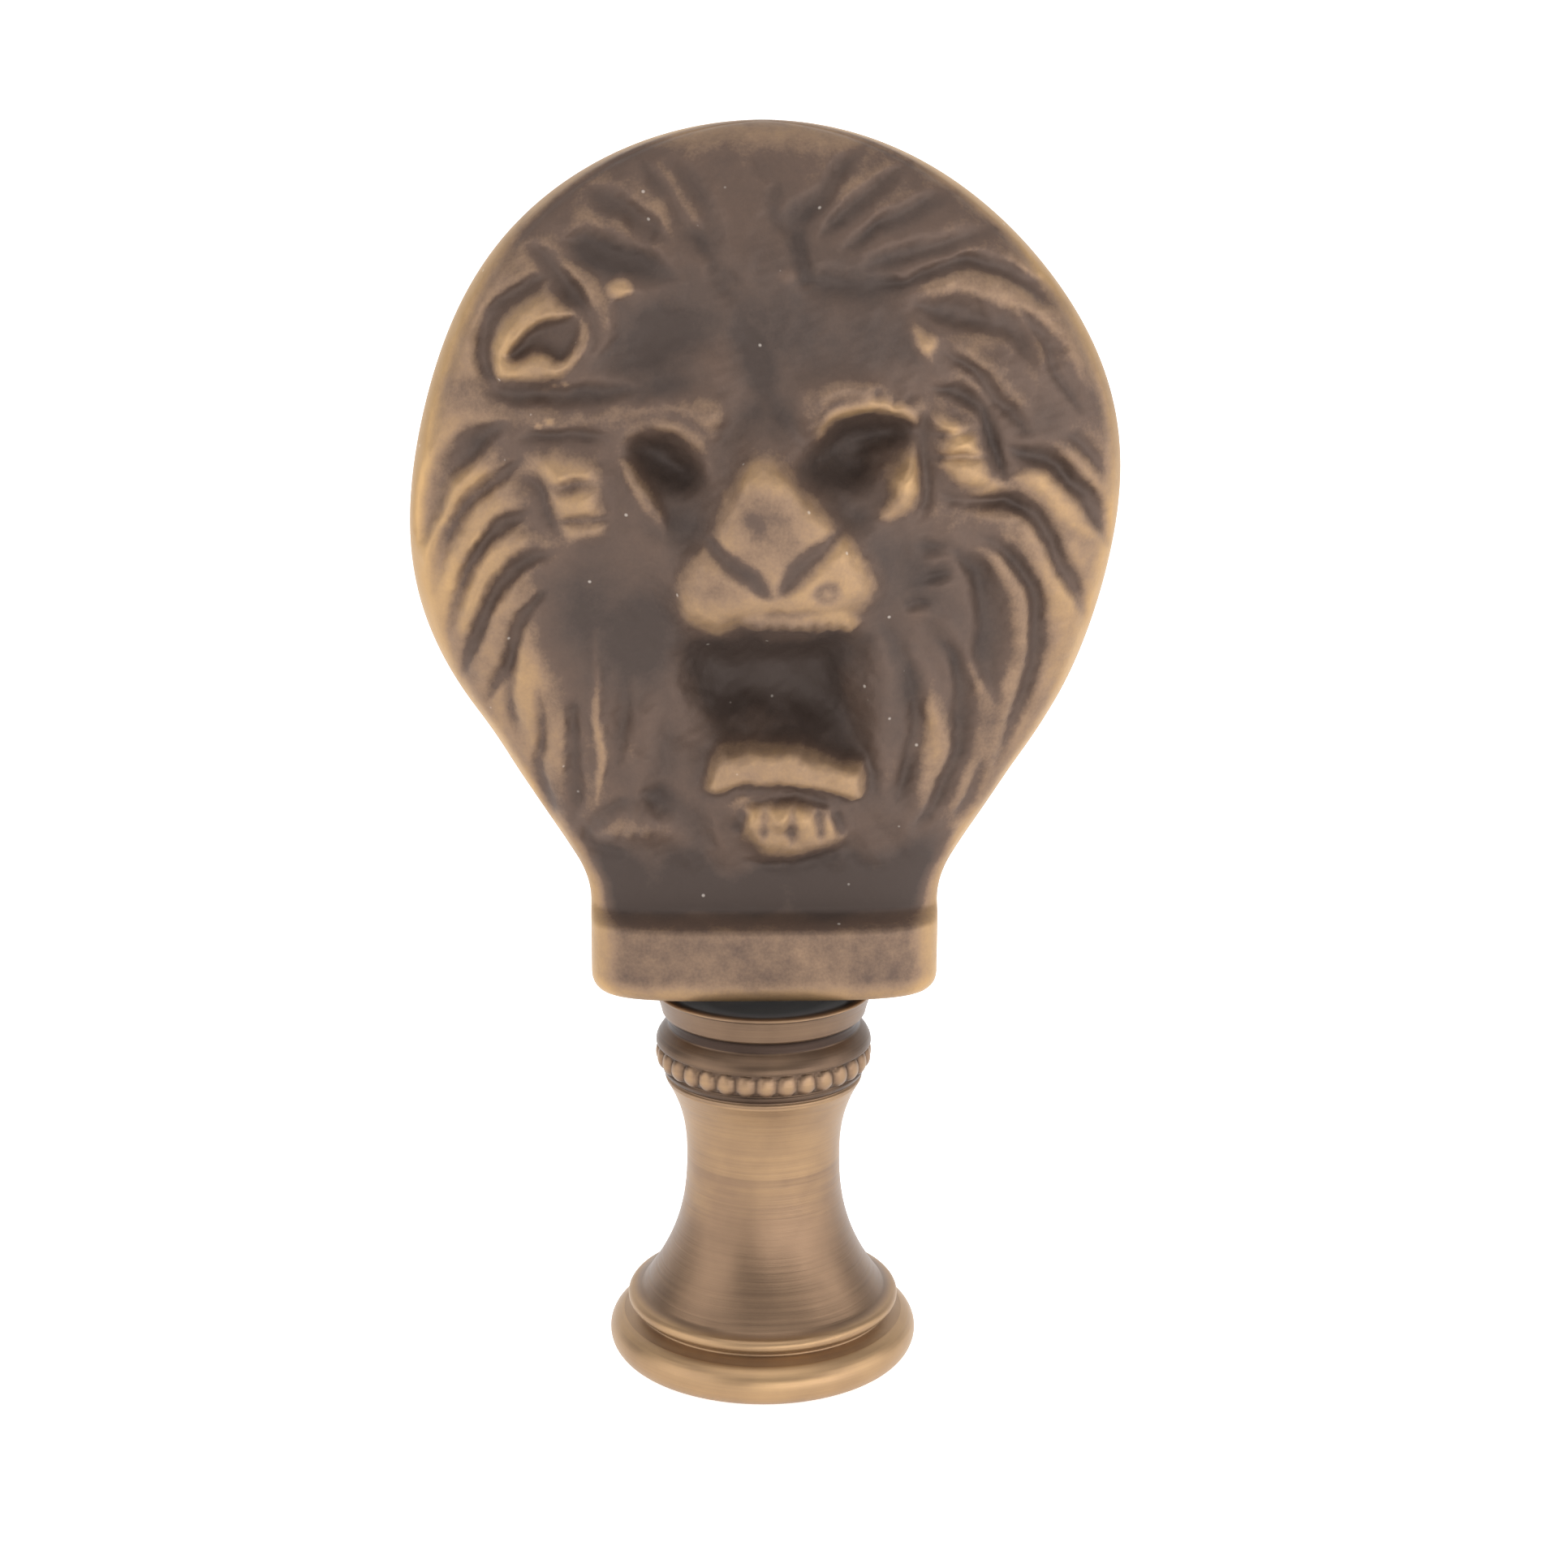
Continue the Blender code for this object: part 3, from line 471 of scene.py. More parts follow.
    d.mound(0.28, (-6.75, 55.8), (0.75, 0.72), power=5.0)
    d.mound(0.08, (1.0, 56.45), (0.6, 0.45), power=4.0)


def wear_and_painted_light_places():
    """Where the casting is rubbed bright or carries painted highlights and reflections (positive), and
    where patina and painted shade keep it darkest (negative), on the drawing.
    """
    d = Drawing()
    # rubbed bright, with painted highlights and reflections: locks at the edge (painted reflection of the
    # pale surroundings), cheeks, lip (painted highlight from above), curls, lower corners
    d.mounds([(0.45, 1.0, 31.2, 4.0, 1.4), (0.5, 4.2, 39.9, 1.8, 1.1), (0.25, 0.9, 28.3, 2.6, 0.8),
              (0.25, -0.8, 31.0, 1.6, 1.0), (0.65, -14.6, 47.0, 4.4, 12.0, 0.0, 3.0),
              (0.7, -11.8, 36.0, 3.6, 8.0, -28.0), (0.3, -12.5, 56.4, 3.4, 3.4),
              (0.65, 15.2, 42.0, 3.4, 9.5, 8.0, 3.0), (0.45, 12.8, 35.0, 2.4, 6.5, -32.0),
              (0.6, 7.6, 34.8, 1.2, 2.2, 0.0, 3.0), (0.35, 13.6, 55.0, 3.0, 5.0, 38.0),
              (0.6, -6.75, 55.8, 0.8, 0.75, 0.0, 5.0), (0.5, 1.0, 56.45, 0.6, 0.45, 0.0, 4.0),
              (0.4, 2.0, 55.9, 0.35, 0.25, 0.0, 4.0), (0.3, 7.0, 47.2, 1.2, 1.8),
              (0.3, -11.0, 32.4, 1.4, 2.6), (0.3, -9.7, 43.6, 1.6, 2.0), (0.35, -15.2, 40.6, 1.6, 4.0),
              (0.4, -16.3, 43.0, 1.8, 8.0), (0.75, 10.4, 46.2, 1.8, 1.2), (0.5, 9.8, 29.5, 1.2, 2.6),
              (0.4, -10.4, 29.0, 1.2, 2.6)])
    # kept dark by patina and by painted shade: about mouth, nose and eyes, under brows, between the locks
    d.mounds([(-0.3, 3.0, 41.4, 0.9, 0.75, 0.0, 4.0), (-0.35, -2.5, 41.9, 2.3, 1.7),
              (-0.5, -0.4, 45.4, 2.2, 1.8), (-0.4, 0.5, 44.4, 3.0, 2.8, 0.0, 3.0),
              (-0.25, -4.6, 50.6, 2.8, 1.4), (-0.4, -7.6, 57.0, 2.4, 1.2), (-0.3, 6.2, 53.4, 3.0, 2.0),
              (-0.3, -0.6, 51.8, 1.8, 1.6), (-0.25, -6.0, 38.5, 2.0, 3.0), (-0.4, 5.6, 43.4, 1.6, 1.8),
              (-0.25, 12.4, 49.2, 2.4, 2.4), (-0.35, 4.6, 55.4, 3.4, 1.8), (-0.3, -4.8, 51.6, 2.8, 1.3),
              (-0.75, -12.9, 48.4, 3.0, 1.7), (-0.55, -5.6, 39.3, 2.4, 3.0),
              (-0.5, 7.7, 42.4, 1.4, 3.0), (-0.3, -5.4, 53.2, 4.2, 3.2, 10.0),
              (-0.45, 4.2, 45.6, 2.2, 1.8), (-0.4, -3.8, 44.8, 2.4, 2.4),
              (-0.55, -7.4, 40.0, 4.0, 6.0, 8.0), (-0.45, -4.6, 36.0, 3.0, 5.0),
              (-0.4, 7.2, 42.0, 2.4, 3.6), (-0.4, 9.6, 41.0, 2.4, 5.0, 12.0),
              (-0.25, 4.4, 56.6, 3.6, 1.6), (-0.3, -4.5, 30.0, 4.0, 3.0), (-0.3, 6.5, 29.5, 2.5, 4.0),
              (-0.85, 6.1, 36.6, 2.0, 4.2, 0.0, 3.0), (-0.6, -9.6, 40.6, 2.6, 3.8),
              (-0.5, -8.6, 38.4, 3.0, 4.0), (-0.4, -5.3, 32.5, 2.2, 3.0), (-0.5, -13.0, 50.6, 3.0, 2.0),
              (-0.3, 0.3, 55.4, 3.6, 3.2), (-0.7, 0.4, 53.4, 3.4, 3.2), (-0.35, -6.5, 52.8, 3.6, 2.4),
              (-0.45, 4.4, 53.6, 4.6, 2.2), (-0.4, 14.2, 45.0, 2.0, 4.0), (-0.3, 5.0, 57.5, 6.0, 3.0),
              (-0.4, 9.0, 38.5, 2.2, 3.4), (-0.35, 0.0, 57.6, 5.0, 4.0), (-0.6, 0.2, 49.6, 2.2, 1.8),
              (-0.2, 0.0, 58.0, 13.0, 7.0), (-0.25, 14.0, 49.0, 2.6, 4.0)])
    # the same along the carved forms: wear and painted highlights on raised forms, patina and painted
    # shade in sunk ones
    d.area(0.46, 1.2, MUZZLE, (0.05, 0.0))
    for groove in VEE:
        d.stroke(-0.35, 0.6, groove, 0.2)
    d.stroke(-0.15, 0.7, [(-1.1, 39.7), (1.4, 39.6), (4.5, 39.7)], 0.15)
    d.area(0.42, 0.7, LOWER_LIP, (0.06, -0.1))
    d.area(0.32, 0.7, CHIN_TUFT)
    for slot in CHIN_SLOTS:
        d.stroke(-0.2, 0.4, slot)
    d.area(0.6, 1.0, RIGHT_LID)
    d.area(0.75, 0.8, RIGHT_CHEEK)
    d.area(-0.25, 1.0, RIGHT_BROW)
    d.stroke(0.55, 0.6, [(2.4, 48.5), (3.3, 49.7), (4.8, 50.3), (6.2, 50.3), (7.3, 49.6)])
    d.area(0.55, 1.3, LEFT_CHEEK)
    d.area(0.45, 0.5, EAR_DISC)
    d.area(-0.3, 0.5, EAR_HOLLOW)
    d.area(0.75, 0.5, EAR_LOCK)
    d.stroke(0.15, 1.2, [(-9.6, 57.0), (-8.4, 56.2), (-7.6, 54.9)])
    d.stroke(0.35, 0.7, [(11.6, 46.9), (12.9, 46.9), (14.0, 45.7), (15.4, 44.2)])
    # painted shade fills the mouth
    d.area(-1.1, 3.0, MOUTH)
    d.area(-0.1, 1.0, LEFT_EYE)
    d.area(-0.1, 1.0, RIGHT_EYE)
    d.stroke(0.8, 1.7, [(5.0, 62.9), (9.0, 61.3), (12.2, 58.6), (14.4, 55.4)])
    d.stroke(-0.45, 1.6, [(-9.5, 57.4), (-6.6, 57.4), (-3.6, 56.0), (-0.6, 53.4)])
    for x, z in ((-10.3, 51.0), (-9.9, 51.2), (-9.4, 51.3), (-10.1, 49.6), (-10.6, 49.3)):
        d.mound(0.7, (x, z), (0.3, 0.2), power=3.0)
    d.stroke(0.35, 0.35, [(-8.0, 39.6), (-8.1, 36.0), (-7.9, 33.0), (-8.1, 30.9)], 0.4)
    d.area(-0.8, 2.2, BROW_HOLLOW)
    d.stroke(-0.45, 1.0, [(-10.0, 50.4), (-6.5, 50.6), (-3.2, 51.6)])
    return d


def srgb(colour):
    """Linear RGBA of an sRGB hex colour such as #b08f68."""
    parts = [int(colour[i:i + 2], 16) / 255.0 for i in (1, 3, 5)]
    return (*[c / 12.92 if c <= 0.04045 else ((c + 0.055) / 1.055) ** 2.4 for c in parts], 1.0)


def length(name, description, default):
    """Property for a length, in metres."""
    return FloatProperty(name=name, description=description, default=default, unit="LENGTH")


class FinialMaskSizes(bpy.types.PropertyGroup):
    """Sizes of the casting, from the solid's own dimensions."""
    width: length("Mask width", "Across the widest part of the mask", 0.0346)
    upright: length("Mask oval", "Height of the oval that the mask's outline follows", 0.0365)
    block_width: length("Block width", "Width of the block foot", 0.0175)
    block_depth: length("Block depth", "Depth of the block foot", 0.0084)
    block_height: length("Block height", "Height of the block foot's plain face", 0.0039)
    edge_round: length("Block edge", "Rounding of the block's lower edge", 0.0009)
    cove_depth: length("Cove depth", "How far the cove above the block goes in", 0.0016)
    front_depth: length("Front depth", "Plain front's depth before its mid plane", 0.0054)
    back_depth: length("Back depth", "Plain back's depth behind its mid plane", 0.003)
    wander: length("Outline wander", "Sideways wander of the hand-cut outline", 0.00024)
    relief: FloatProperty(name="Relief", description="Depth of the carving against the drawing",
                          default=1.0, min=0.0, max=1.5)
    rows: IntProperty(name="Rows", description="Rings of the mesh from block to crown", default=330)


class FinialBaseSizes(bpy.types.PropertyGroup):
    """Sizes of the turned base, from the solid's own dimensions."""
    foot: length("Foot", "Diameter of the foot", 0.016)
    roll: length("Foot roll", "Height of the foot's round moulding", 0.0022)
    rim: length("Bell rim", "Radius of the bell's rim", 0.00705)
    waist: length("Waist", "Radius of the column where it is thinnest", 0.00396)
    top: length("Column top", "Radius of the column's top", 0.00503)
    bead_ring: length("Bead ring", "Radius over the beads", 0.00554)
    beads: IntProperty(name="Beads", description="Beads round the ring", default=32)
    neck: length("Neck", "Radius of the groove under the flange", 0.00492)
    flange: length("Flange", "Radius of the dished flange", 0.0056)
    height: length("Base height", "Height of the flange's rim", 0.02)
    bore: length("Thread", "Diameter of the tapped hole over its thread", 0.00635)
    depth: length("Thread depth", "Depth of the tapped hole", 0.012)
    pitch: length("Pitch", "Rise of the thread in one turn", 0.0254 / 27.0)


class FinialFinish(bpy.types.PropertyGroup):
    """Colours of the finish, as sRGB hex values."""
    patina: StringProperty(name="Patina", description="Dark brown in the hollows", default="#372a23")
    umber: StringProperty(name="Umber", description="Toned brass of the broad hollows", default="#534136")
    brown: StringProperty(name="Brown", description="Toned brass between", default="#7b634e")
    # the ramp's top colour, reached by rubbed high points and by painted highlights and reflections
    wear_and_painted_light: StringProperty(name="Worn brass", description="High points rubbed bright", default="#a5855c")
    column: StringProperty(name="Turned brass", description="Column and foot", default="#b5946a")
    dust: StringProperty(name="Dust", description="Pale specks in the patina", default="#c9bfb4")
    floor: StringProperty(name="Floor", description="Pale floor and backdrop", default="#f6f6f6")


class FinialStage(bpy.types.PropertyGroup):
    """Camera and lights."""
    distance: length("Distance", "Camera to the point it looks at", 0.150)
    elevation: FloatProperty(name="Elevation", description="Camera above the horizon", default=15.5)
    turn: FloatProperty(name="Turn", description="Camera round the object, in degrees", default=-2.0)
    roll: FloatProperty(name="Roll", description="Camera about its line of sight, in degrees",
                        default=0.3)
    focal: FloatProperty(name="Focal length", description="In millimetres on a 36 mm sensor",
                         default=68.6)
    look_at: FloatVectorProperty(name="Looks at", description="Point in the middle of the picture",
                                 default=(0.00098, 0.0, 0.0306), subtype="TRANSLATION")


def props():
    """The scene's settings of the finial."""
    return bpy.context.scene


def half_width(s, z, foot, top):
    """Half the casting's width: an oval, straight flanks that touch it, and the block below.

    The flanks leave the oval where its height is the touch share of its half height.
    """
    half = 0.5 * s.width
    upright = 0.5 * s.upright
    centre = top - upright
    t = np.clip((z - centre) / upright, -1.0, 1.0)
    oval = half * np.sqrt(1.0 - t * t)
    touch = 0.556
    touch_z = centre - touch * upright
    slope = half / upright * touch / math.sqrt(1.0 - touch * touch)
    flank = half * math.sqrt(1.0 - touch * touch) + slope * (z - touch_z)
    body = np.where(z < touch_z, flank, oval)
    block = 0.5 * s.block_width
    fillet = 0.04 * s.block_width
    gap = np.clip((fillet - np.abs(body - block)) / fillet, 0.0, 1.0)
    joined = np.maximum(body, block) + 0.25 * fillet * gap * gap
    return np.where(z < centre, joined, body) - lower_round(s, z, foot)


def lower_round(s, z, foot):
    """How far the block's lower edge is rounded in: nearly a quarter circle."""
    t = np.clip(1.0 - (z - foot) / s.edge_round, 0.0, 1.0)
    return s.edge_round * (1.0 - np.sqrt(1.0 - 0.98 * t * t))


def crown(s, z, centre, roundness):
    """1 up to the mask's middle height, then down to 0 at its top as a squared-off arc."""
    t = np.clip((z - centre) / (0.5 * s.upright), 0.0, 1.0)
    return (1.0 - t ** roundness) ** (1.0 / roundness)


def column_shares(count, edge):
    """Places across the front from -1 to 1: even inside, crowded at both edges."""
    inner = np.linspace(-0.97, 0.97, count)
    a = np.linspace(0.0, 0.5 * math.pi, edge + 1)[:-1]
    outer = 0.97 + 0.03 * np.cos(a)
    return np.concatenate([-outer, inner, outer[::-1]])


def mask_rows(s, foot, top):
    """Heights of the mesh's rings: round the lower edge, even up the body, crowded to the crown."""
    low = foot + s.edge_round * (1.0 - np.cos(np.linspace(0.0, 0.5 * math.pi, LOW_ROWS)))
    body = np.linspace(low[-1], top - 0.14 * s.upright, s.rows - LOW_ROWS - CROWN_ROWS + 1)[1:]
    t = np.linspace(0.0, 1.0, CROWN_ROWS + 1)[1:-1]
    cap = body[-1] + (top - body[-1]) * np.sin(0.5 * math.pi * t) ** 0.92
    return np.concatenate([low, body, cap])


def mask_surface():
    """Closed loops of front and back points at each height.

    Across the front, depth is the middle line's depth times (1 - |x|^n)^(1/n), plus the
    carving read from the drawing where the eye sees the point. The back is the same arc,
    flatter, with shallow locks round its edge.
    """
    s = props().finial_mask
    low_corner, high_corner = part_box("lion_mask")
    foot = low_corner[2]
    top = high_corner[2]
    front_face = -low_corner[1]
    centre = top - 0.5 * s.upright
    ledge = foot + s.block_height
    front = column_shares(FRONT_POINTS, EDGE_POINTS)
    back = np.cos(np.linspace(0.0, math.pi, BACK_POINTS + 2))[1:-1]
    n = len(front) + len(back)
    z = np.repeat(mask_rows(s, foot, top)[:, None], n, axis=1)
    across = np.broadcast_to(np.concatenate([front, back]), z.shape)
    in_block = 1.0 - smooth((z - ledge) / (4.0 * MM))
    squared = np.sign(across) * np.abs(across) ** (1.0 - 0.25 * in_block)
    t = (z - centre) / (0.5 * s.upright)
    half = half_width(s, z, foot, top)
    middle = s.wander * np.sin(1.76 * math.pi * t) * smooth((t + 0.75) / 0.2)
    x = middle + half * squared
    roundness = 2.3 + 1.7 * in_block
    arc = (1.0 - np.abs(squared) ** roundness) ** (1.0 / roundness)
    rise = centre - ledge
    block = 0.5 * s.block_depth
    depth = along(z, [(ledge - 0.01 * rise, block), (ledge + 0.03 * rise, block - s.cove_depth),
                      (ledge + 0.12 * rise, block - s.cove_depth),
                      (ledge + 0.30 * rise, 0.70 * s.front_depth), (centre, s.front_depth)])
    plain = (depth * crown(s, z, centre, FRONT_CROWN) - lower_round(s, z, foot)) * arc
    behind = along(z, [(ledge, block), (ledge + 0.25 * rise, s.back_depth)])
    behind = (behind * crown(s, z, centre, BACK_CROWN) - lower_round(s, z, foot)) * arc

    carving = Drawing()
    carve_face(carving)
    carve_ear(carving)
    carve_mane(carving)
    carving.h = 0.3 * carving.h + 0.7 * blurred(carving.h, 0.14)
    snout = Drawing()
    snout.mound(2.4, (0.5, 42.5), (9.0, 12.0))
    u, w = seen(x, z, plain)
    u, w = seen(x, z, plain + snout.read(u, w) * MM)
    u = u + unevenness(u, w, 3, *HAND)
    w = w + unevenness(u, w, 5, *HAND)
    # the carving fades out at the thin edge, over the block and at the very top
    share = np.clip(1.0 - np.abs(squared), 0.0, 1.0)
    fade = smooth(share / 0.055) * smooth((z - foot - 1.5 * s.block_height) / (1.5 * MM))
    fade = fade * smooth((top - z) / (0.03 * s.upright))
    # a fine groove runs inside the rim of the upper half
    inside = share * half / MM
    groove = np.exp(-((inside - 0.75) / 0.2) ** 2) * smooth((z - centre) / (4.0 * MM))
    relief = (carving.read(u, w) + unevenness(u, w, 7, *LUMPS)) * fade - 0.12 * groove
    # soft floor a little before the mid plane, and soft ceiling at the solid's front face
    lowest = 0.1 * s.front_depth * fade
    over = plain + s.relief * MM * relief - lowest
    lift = lowest + 0.5 * (over + np.sqrt(over ** 2 + (0.7 * MM * fade) ** 2))
    under = front_face - lift
    lift = front_face - 0.5 * (under + np.sqrt(under ** 2 + (0.5 * MM * fade) ** 2))
    locks = back_locks(x, z, centre, s)
    is_front = np.arange(n) < len(front)
    verts = np.stack([x, np.where(is_front, -lift, behind - locks * fade), z], axis=2)

    # second tone: wear together with painted highlights, reflections and shade
    hollow, wear_and_painted_light = front_tones(carving, u, w, z, share, foot, ledge, top)
    hollow = np.where(is_front, hollow, BACK_TONE + locks / MM)
    wear_and_painted_light = np.where(is_front, wear_and_painted_light, BACK_WEAR)
    return verts, {"hollow": hollow, "wear_and_painted_light": wear_and_painted_light}, top, foot, float(middle[-1, 0])


def front_tones(carving, u, w, z, share, foot, ledge, top):
    """How deep the paint and painted shade lie, and how far it is rubbed off or brightened by painted
    highlights, at each point of the front.

    Paint is a level tone plus a soft-limited share of how far the carving is sunk. It fills
    the cove above the ledge with a ragged upper edge, as patina and painted shade under the chin.
    It leaves the block barer, and the thin edges, the crown and the lower corner lighter as
    painted highlights and reflections.
    """
    sunk = 1.1 * carving.sunk(0.9).read(u, w) + 1.5 * carving.sunk(0.3).read(u, w)
    hollow = np.clip(LEVEL_TONE + TONE_REACH * np.tanh(sunk), 0.0, 1.0)
    # patina and painted shade fill the cove under the chin, ragged at the top
    ragged = ledge + (4.6 + 1.8 * wander(1.1 * u, 0.9 * w, 9)) * MM
    edge = ledge + (0.1 + 0.35 * wander(1.6 * u, 1.2 * w, 12)) * MM
    cove = smooth((ragged - z) / (2.6 * MM)) * smooth((z - edge) / (0.6 * MM)) * smooth(share / 0.2)
    hollow = hollow + (COVE_PATINA_AND_SHADE + 0.4 * wander(2.0 * u, 0.6 * w, 10) - hollow) * cove
    plain_face = 1.0 - smooth((z - ledge + 0.3 * MM) / (0.6 * MM))
    hollow = hollow * (1.0 - plain_face) + BLOCK_TONE * plain_face
    wear_and_painted_light = wear_and_painted_light_places().read(u, w) * (1.0 - plain_face) + BLOCK_WEAR * plain_face
    # painted highlights and reflections: the thin edge, wider on the block's sides, the crown's top and
    # the block's lower edge are lightened
    in_neck = 1.0 - smooth((z - ledge) / (8.0 * MM))
    wear_and_painted_light = wear_and_painted_light + 1.3 * (1.0 - smooth(share / (0.075 + 0.13 * in_neck)))
    wear_and_painted_light = wear_and_painted_light + 0.7 * (1.0 - smooth((top - z - 0.2 * MM) / (1.6 * MM)))
    wear_and_painted_light = wear_and_painted_light + 0.8 * (1.0 - smooth((z - foot - 0.3 * MM) / (1.1 * MM)))
    return hollow, wear_and_painted_light


def seen(x, z, lift):
    """Where the eye, a little to the left, sees a point of the front on the drawing plane."""
    turn = math.radians(EYE_TURN)
    u = x / MM
    t = (EYE_BACK - PLANE) / (EYE_BACK - lift / MM + u * math.sin(turn))
    return (u * math.cos(turn) + lift / MM * math.sin(turn)) * t, EYE_UP - (EYE_UP - z / MM) * t


def back_locks(x, z, centre, s):
    """Shallow locks round the back's edge: waves by angle that swirl and die towards the middle."""
    p = x / (0.5 * s.width)
    q = (z - centre) / (0.5 * s.upright)
    r = np.hypot(p, q)
    angle = np.arctan2(q, p)
    band = smooth((r - 0.55) / 0.25) * smooth((1.0 - r) / 0.08) * smooth((q + 0.75) / 0.3)
    wave = 0.5 + 0.5 * np.sin(30.0 * angle + 5.0 * r + 1.5 * np.sin(3.0 * angle))
    return 0.30 * MM * band * wave


def grid_mesh(name, verts, low_pole, high_pole, attributes):
    """Mesh of closed rings of points, one above the other, with a pole at each end."""
    rows, n = verts.shape[:2]
    points = np.concatenate([verts.reshape(-1, 3), [low_pole, high_pole]])
    r = np.arange(rows - 1)[:, None]
    c = np.arange(n)[None, :]
    d = (c + 1) % n
    quads = np.stack(np.broadcast_arrays(r * n + c, r * n + d, (r + 1) * n + d, (r + 1) * n + c), axis=2)
    ring = np.arange(n)
    after = (ring + 1) % n
    last = (rows - 1) * n
    below = np.stack([after, ring, np.full(n, rows * n)], axis=1)
    above = np.stack([last + ring, last + after, np.full(n, rows * n + 1)], axis=1)
    mesh = bpy.data.meshes.new(name)
    faces = quads.reshape(-1, 4).tolist() + below.tolist() + above.tolist()
    mesh.from_pydata(points.tolist(), [], faces)
    for key, values in attributes.items():
        flat = np.concatenate([values.reshape(-1), [values[0].mean(), values[-1].mean()]])
        layer = mesh.attributes.new(key, "FLOAT", "POINT")
        layer.data.foreach_set("value", flat.astype(np.float32))
    mesh.shade_smooth()
    mesh.update()
    obj = bpy.data.objects.new(name, mesh)
    bpy.context.scene.collection.objects.link(obj)
    return obj


def add_node(tree, kind, links=None, **settings):
    """Adds a node, sets its properties or socket defaults and links its inputs."""
    node = tree.nodes.new(kind)
    for key, value in settings.items():
        if hasattr(node, key):
            setattr(node, key, value)
        else:
            node.inputs[key.replace("_", " ")].default_value = value
    for key, socket in (links or {}).items():
        tree.links.new(socket, node.inputs[key])
    return node


def scaled(tree, source, factor, added):
    """Socket with source * factor + added, which is a number or another socket."""
    node = add_node(tree, "ShaderNodeMath", {0: source}, operation="MULTIPLY_ADD")
    node.inputs[1].default_value = factor
    if isinstance(added, float):
        node.inputs[2].default_value = added
    else:
        tree.links.new(added, node.inputs[2])
    return node.outputs[0]


def ramp(tree, source, stops):
    """Colour ramp from (position, linear colour) stops."""
    node = add_node(tree, "ShaderNodeValToRGB", {"Fac": source})
    while len(node.color_ramp.elements) < len(stops):
        node.color_ramp.elements.new(1.0)
    for element, (position, colour) in zip(node.color_ramp.elements, stops):
        element.position = position
        element.color = colour
    return node


def new_material(name):
    """Material with its node tree and the tree's own shader."""
    material = bpy.data.materials.new(name)
    material.use_nodes = True
    tree = material.node_tree
    return material, tree, tree.nodes["Principled BSDF"]


def patinated_cast_brass():
    """Cast brass, chemically darkened and rubbed: dull brown in hollows, bright on high points, with
    painted highlights, reflections and shade laid over them.
    """
    f = props().finial_finish
    material, tree, shader = new_material("patinated_cast_brass")
    place = add_node(tree, "ShaderNodeTexCoord").outputs["Object"]
    hollow, wear_and_painted_light = [add_node(tree, "ShaderNodeAttribute", attribute_name=key).outputs["Fac"]
                    for key in ("hollow", "wear_and_painted_light")]
    # clouds of tone 3 mm across, blotches of 0.7 mm and grains of 0.15 mm
    clouds = add_node(tree, "ShaderNodeTexNoise", {"Vector": place}, Scale=330.0, Detail=3.0)
    blots = add_node(tree, "ShaderNodeTexNoise", {"Vector": place}, Scale=1400.0, Detail=4.0)
    grain = add_node(tree, "ShaderNodeTexNoise", {"Vector": place}, Scale=6500.0, Detail=3.0)
    # brighter where rubbed and where highlights are painted, darker where hollow and where shade is
    # painted, and varied by the three patterns
    tone = scaled(tree, wear_and_painted_light, 0.52, 0.40)
    for source, factor in ((hollow, -0.85), (clouds.outputs["Fac"], 0.42),
                           (blots.outputs["Fac"], 0.28), (grain.outputs["Fac"], 0.2)):
        tone = scaled(tree, source, factor, tone)
    tone = scaled(tree, tone, 0.62, -0.02)
    colour = ramp(tree, tone, [
        (0.04, srgb(f.patina)), (0.38, srgb(f.umber)), (0.55, srgb(f.brown)), (0.87, srgb(f.wear_and_painted_light))])
    # pale grains of dust, a tenth of a millimetre across and a millimetre or two apart
    cells = add_node(tree, "ShaderNodeTexVoronoi", {"Vector": place}, Scale=520.0)
    near = add_node(tree, "ShaderNodeMapRange", {"Value": cells.outputs["Distance"]},
                    From_Min=0.025, From_Max=0.055, To_Min=0.4, To_Max=0.0)
    dusty = add_node(tree, "ShaderNodeMix", {"Factor": near.outputs[0], "A": colour.outputs["Color"]},
                     data_type="RGBA")
    dusty.inputs["B"].default_value = srgb(f.dust)
    tree.links.new(dusty.outputs["Result"], shader.inputs["Base Color"])
    metal = add_node(tree, "ShaderNodeMapRange", {"Value": tone}, From_Min=0.1, From_Max=0.9,
                     To_Min=0.30, To_Max=0.75)
    tree.links.new(metal.outputs[0], shader.inputs["Metallic"])
    dull = add_node(tree, "ShaderNodeMapRange", {"Value": tone}, To_Min=0.68, To_Max=0.48)
    tree.links.new(dull.outputs[0], shader.inputs["Roughness"])
    rough = add_node(tree, "ShaderNodeBump", {"Height": grain.outputs["Fac"]}, Strength=0.10,
                     Distance=0.08 * MM)
    dimpled = add_node(tree, "ShaderNodeBump",
                       {"Height": blots.outputs["Fac"], "Normal": rough.outputs[0]},
                       Strength=0.25, Distance=0.12 * MM)
    tree.links.new(dimpled.outputs[0], shader.inputs["Normal"])
    return material


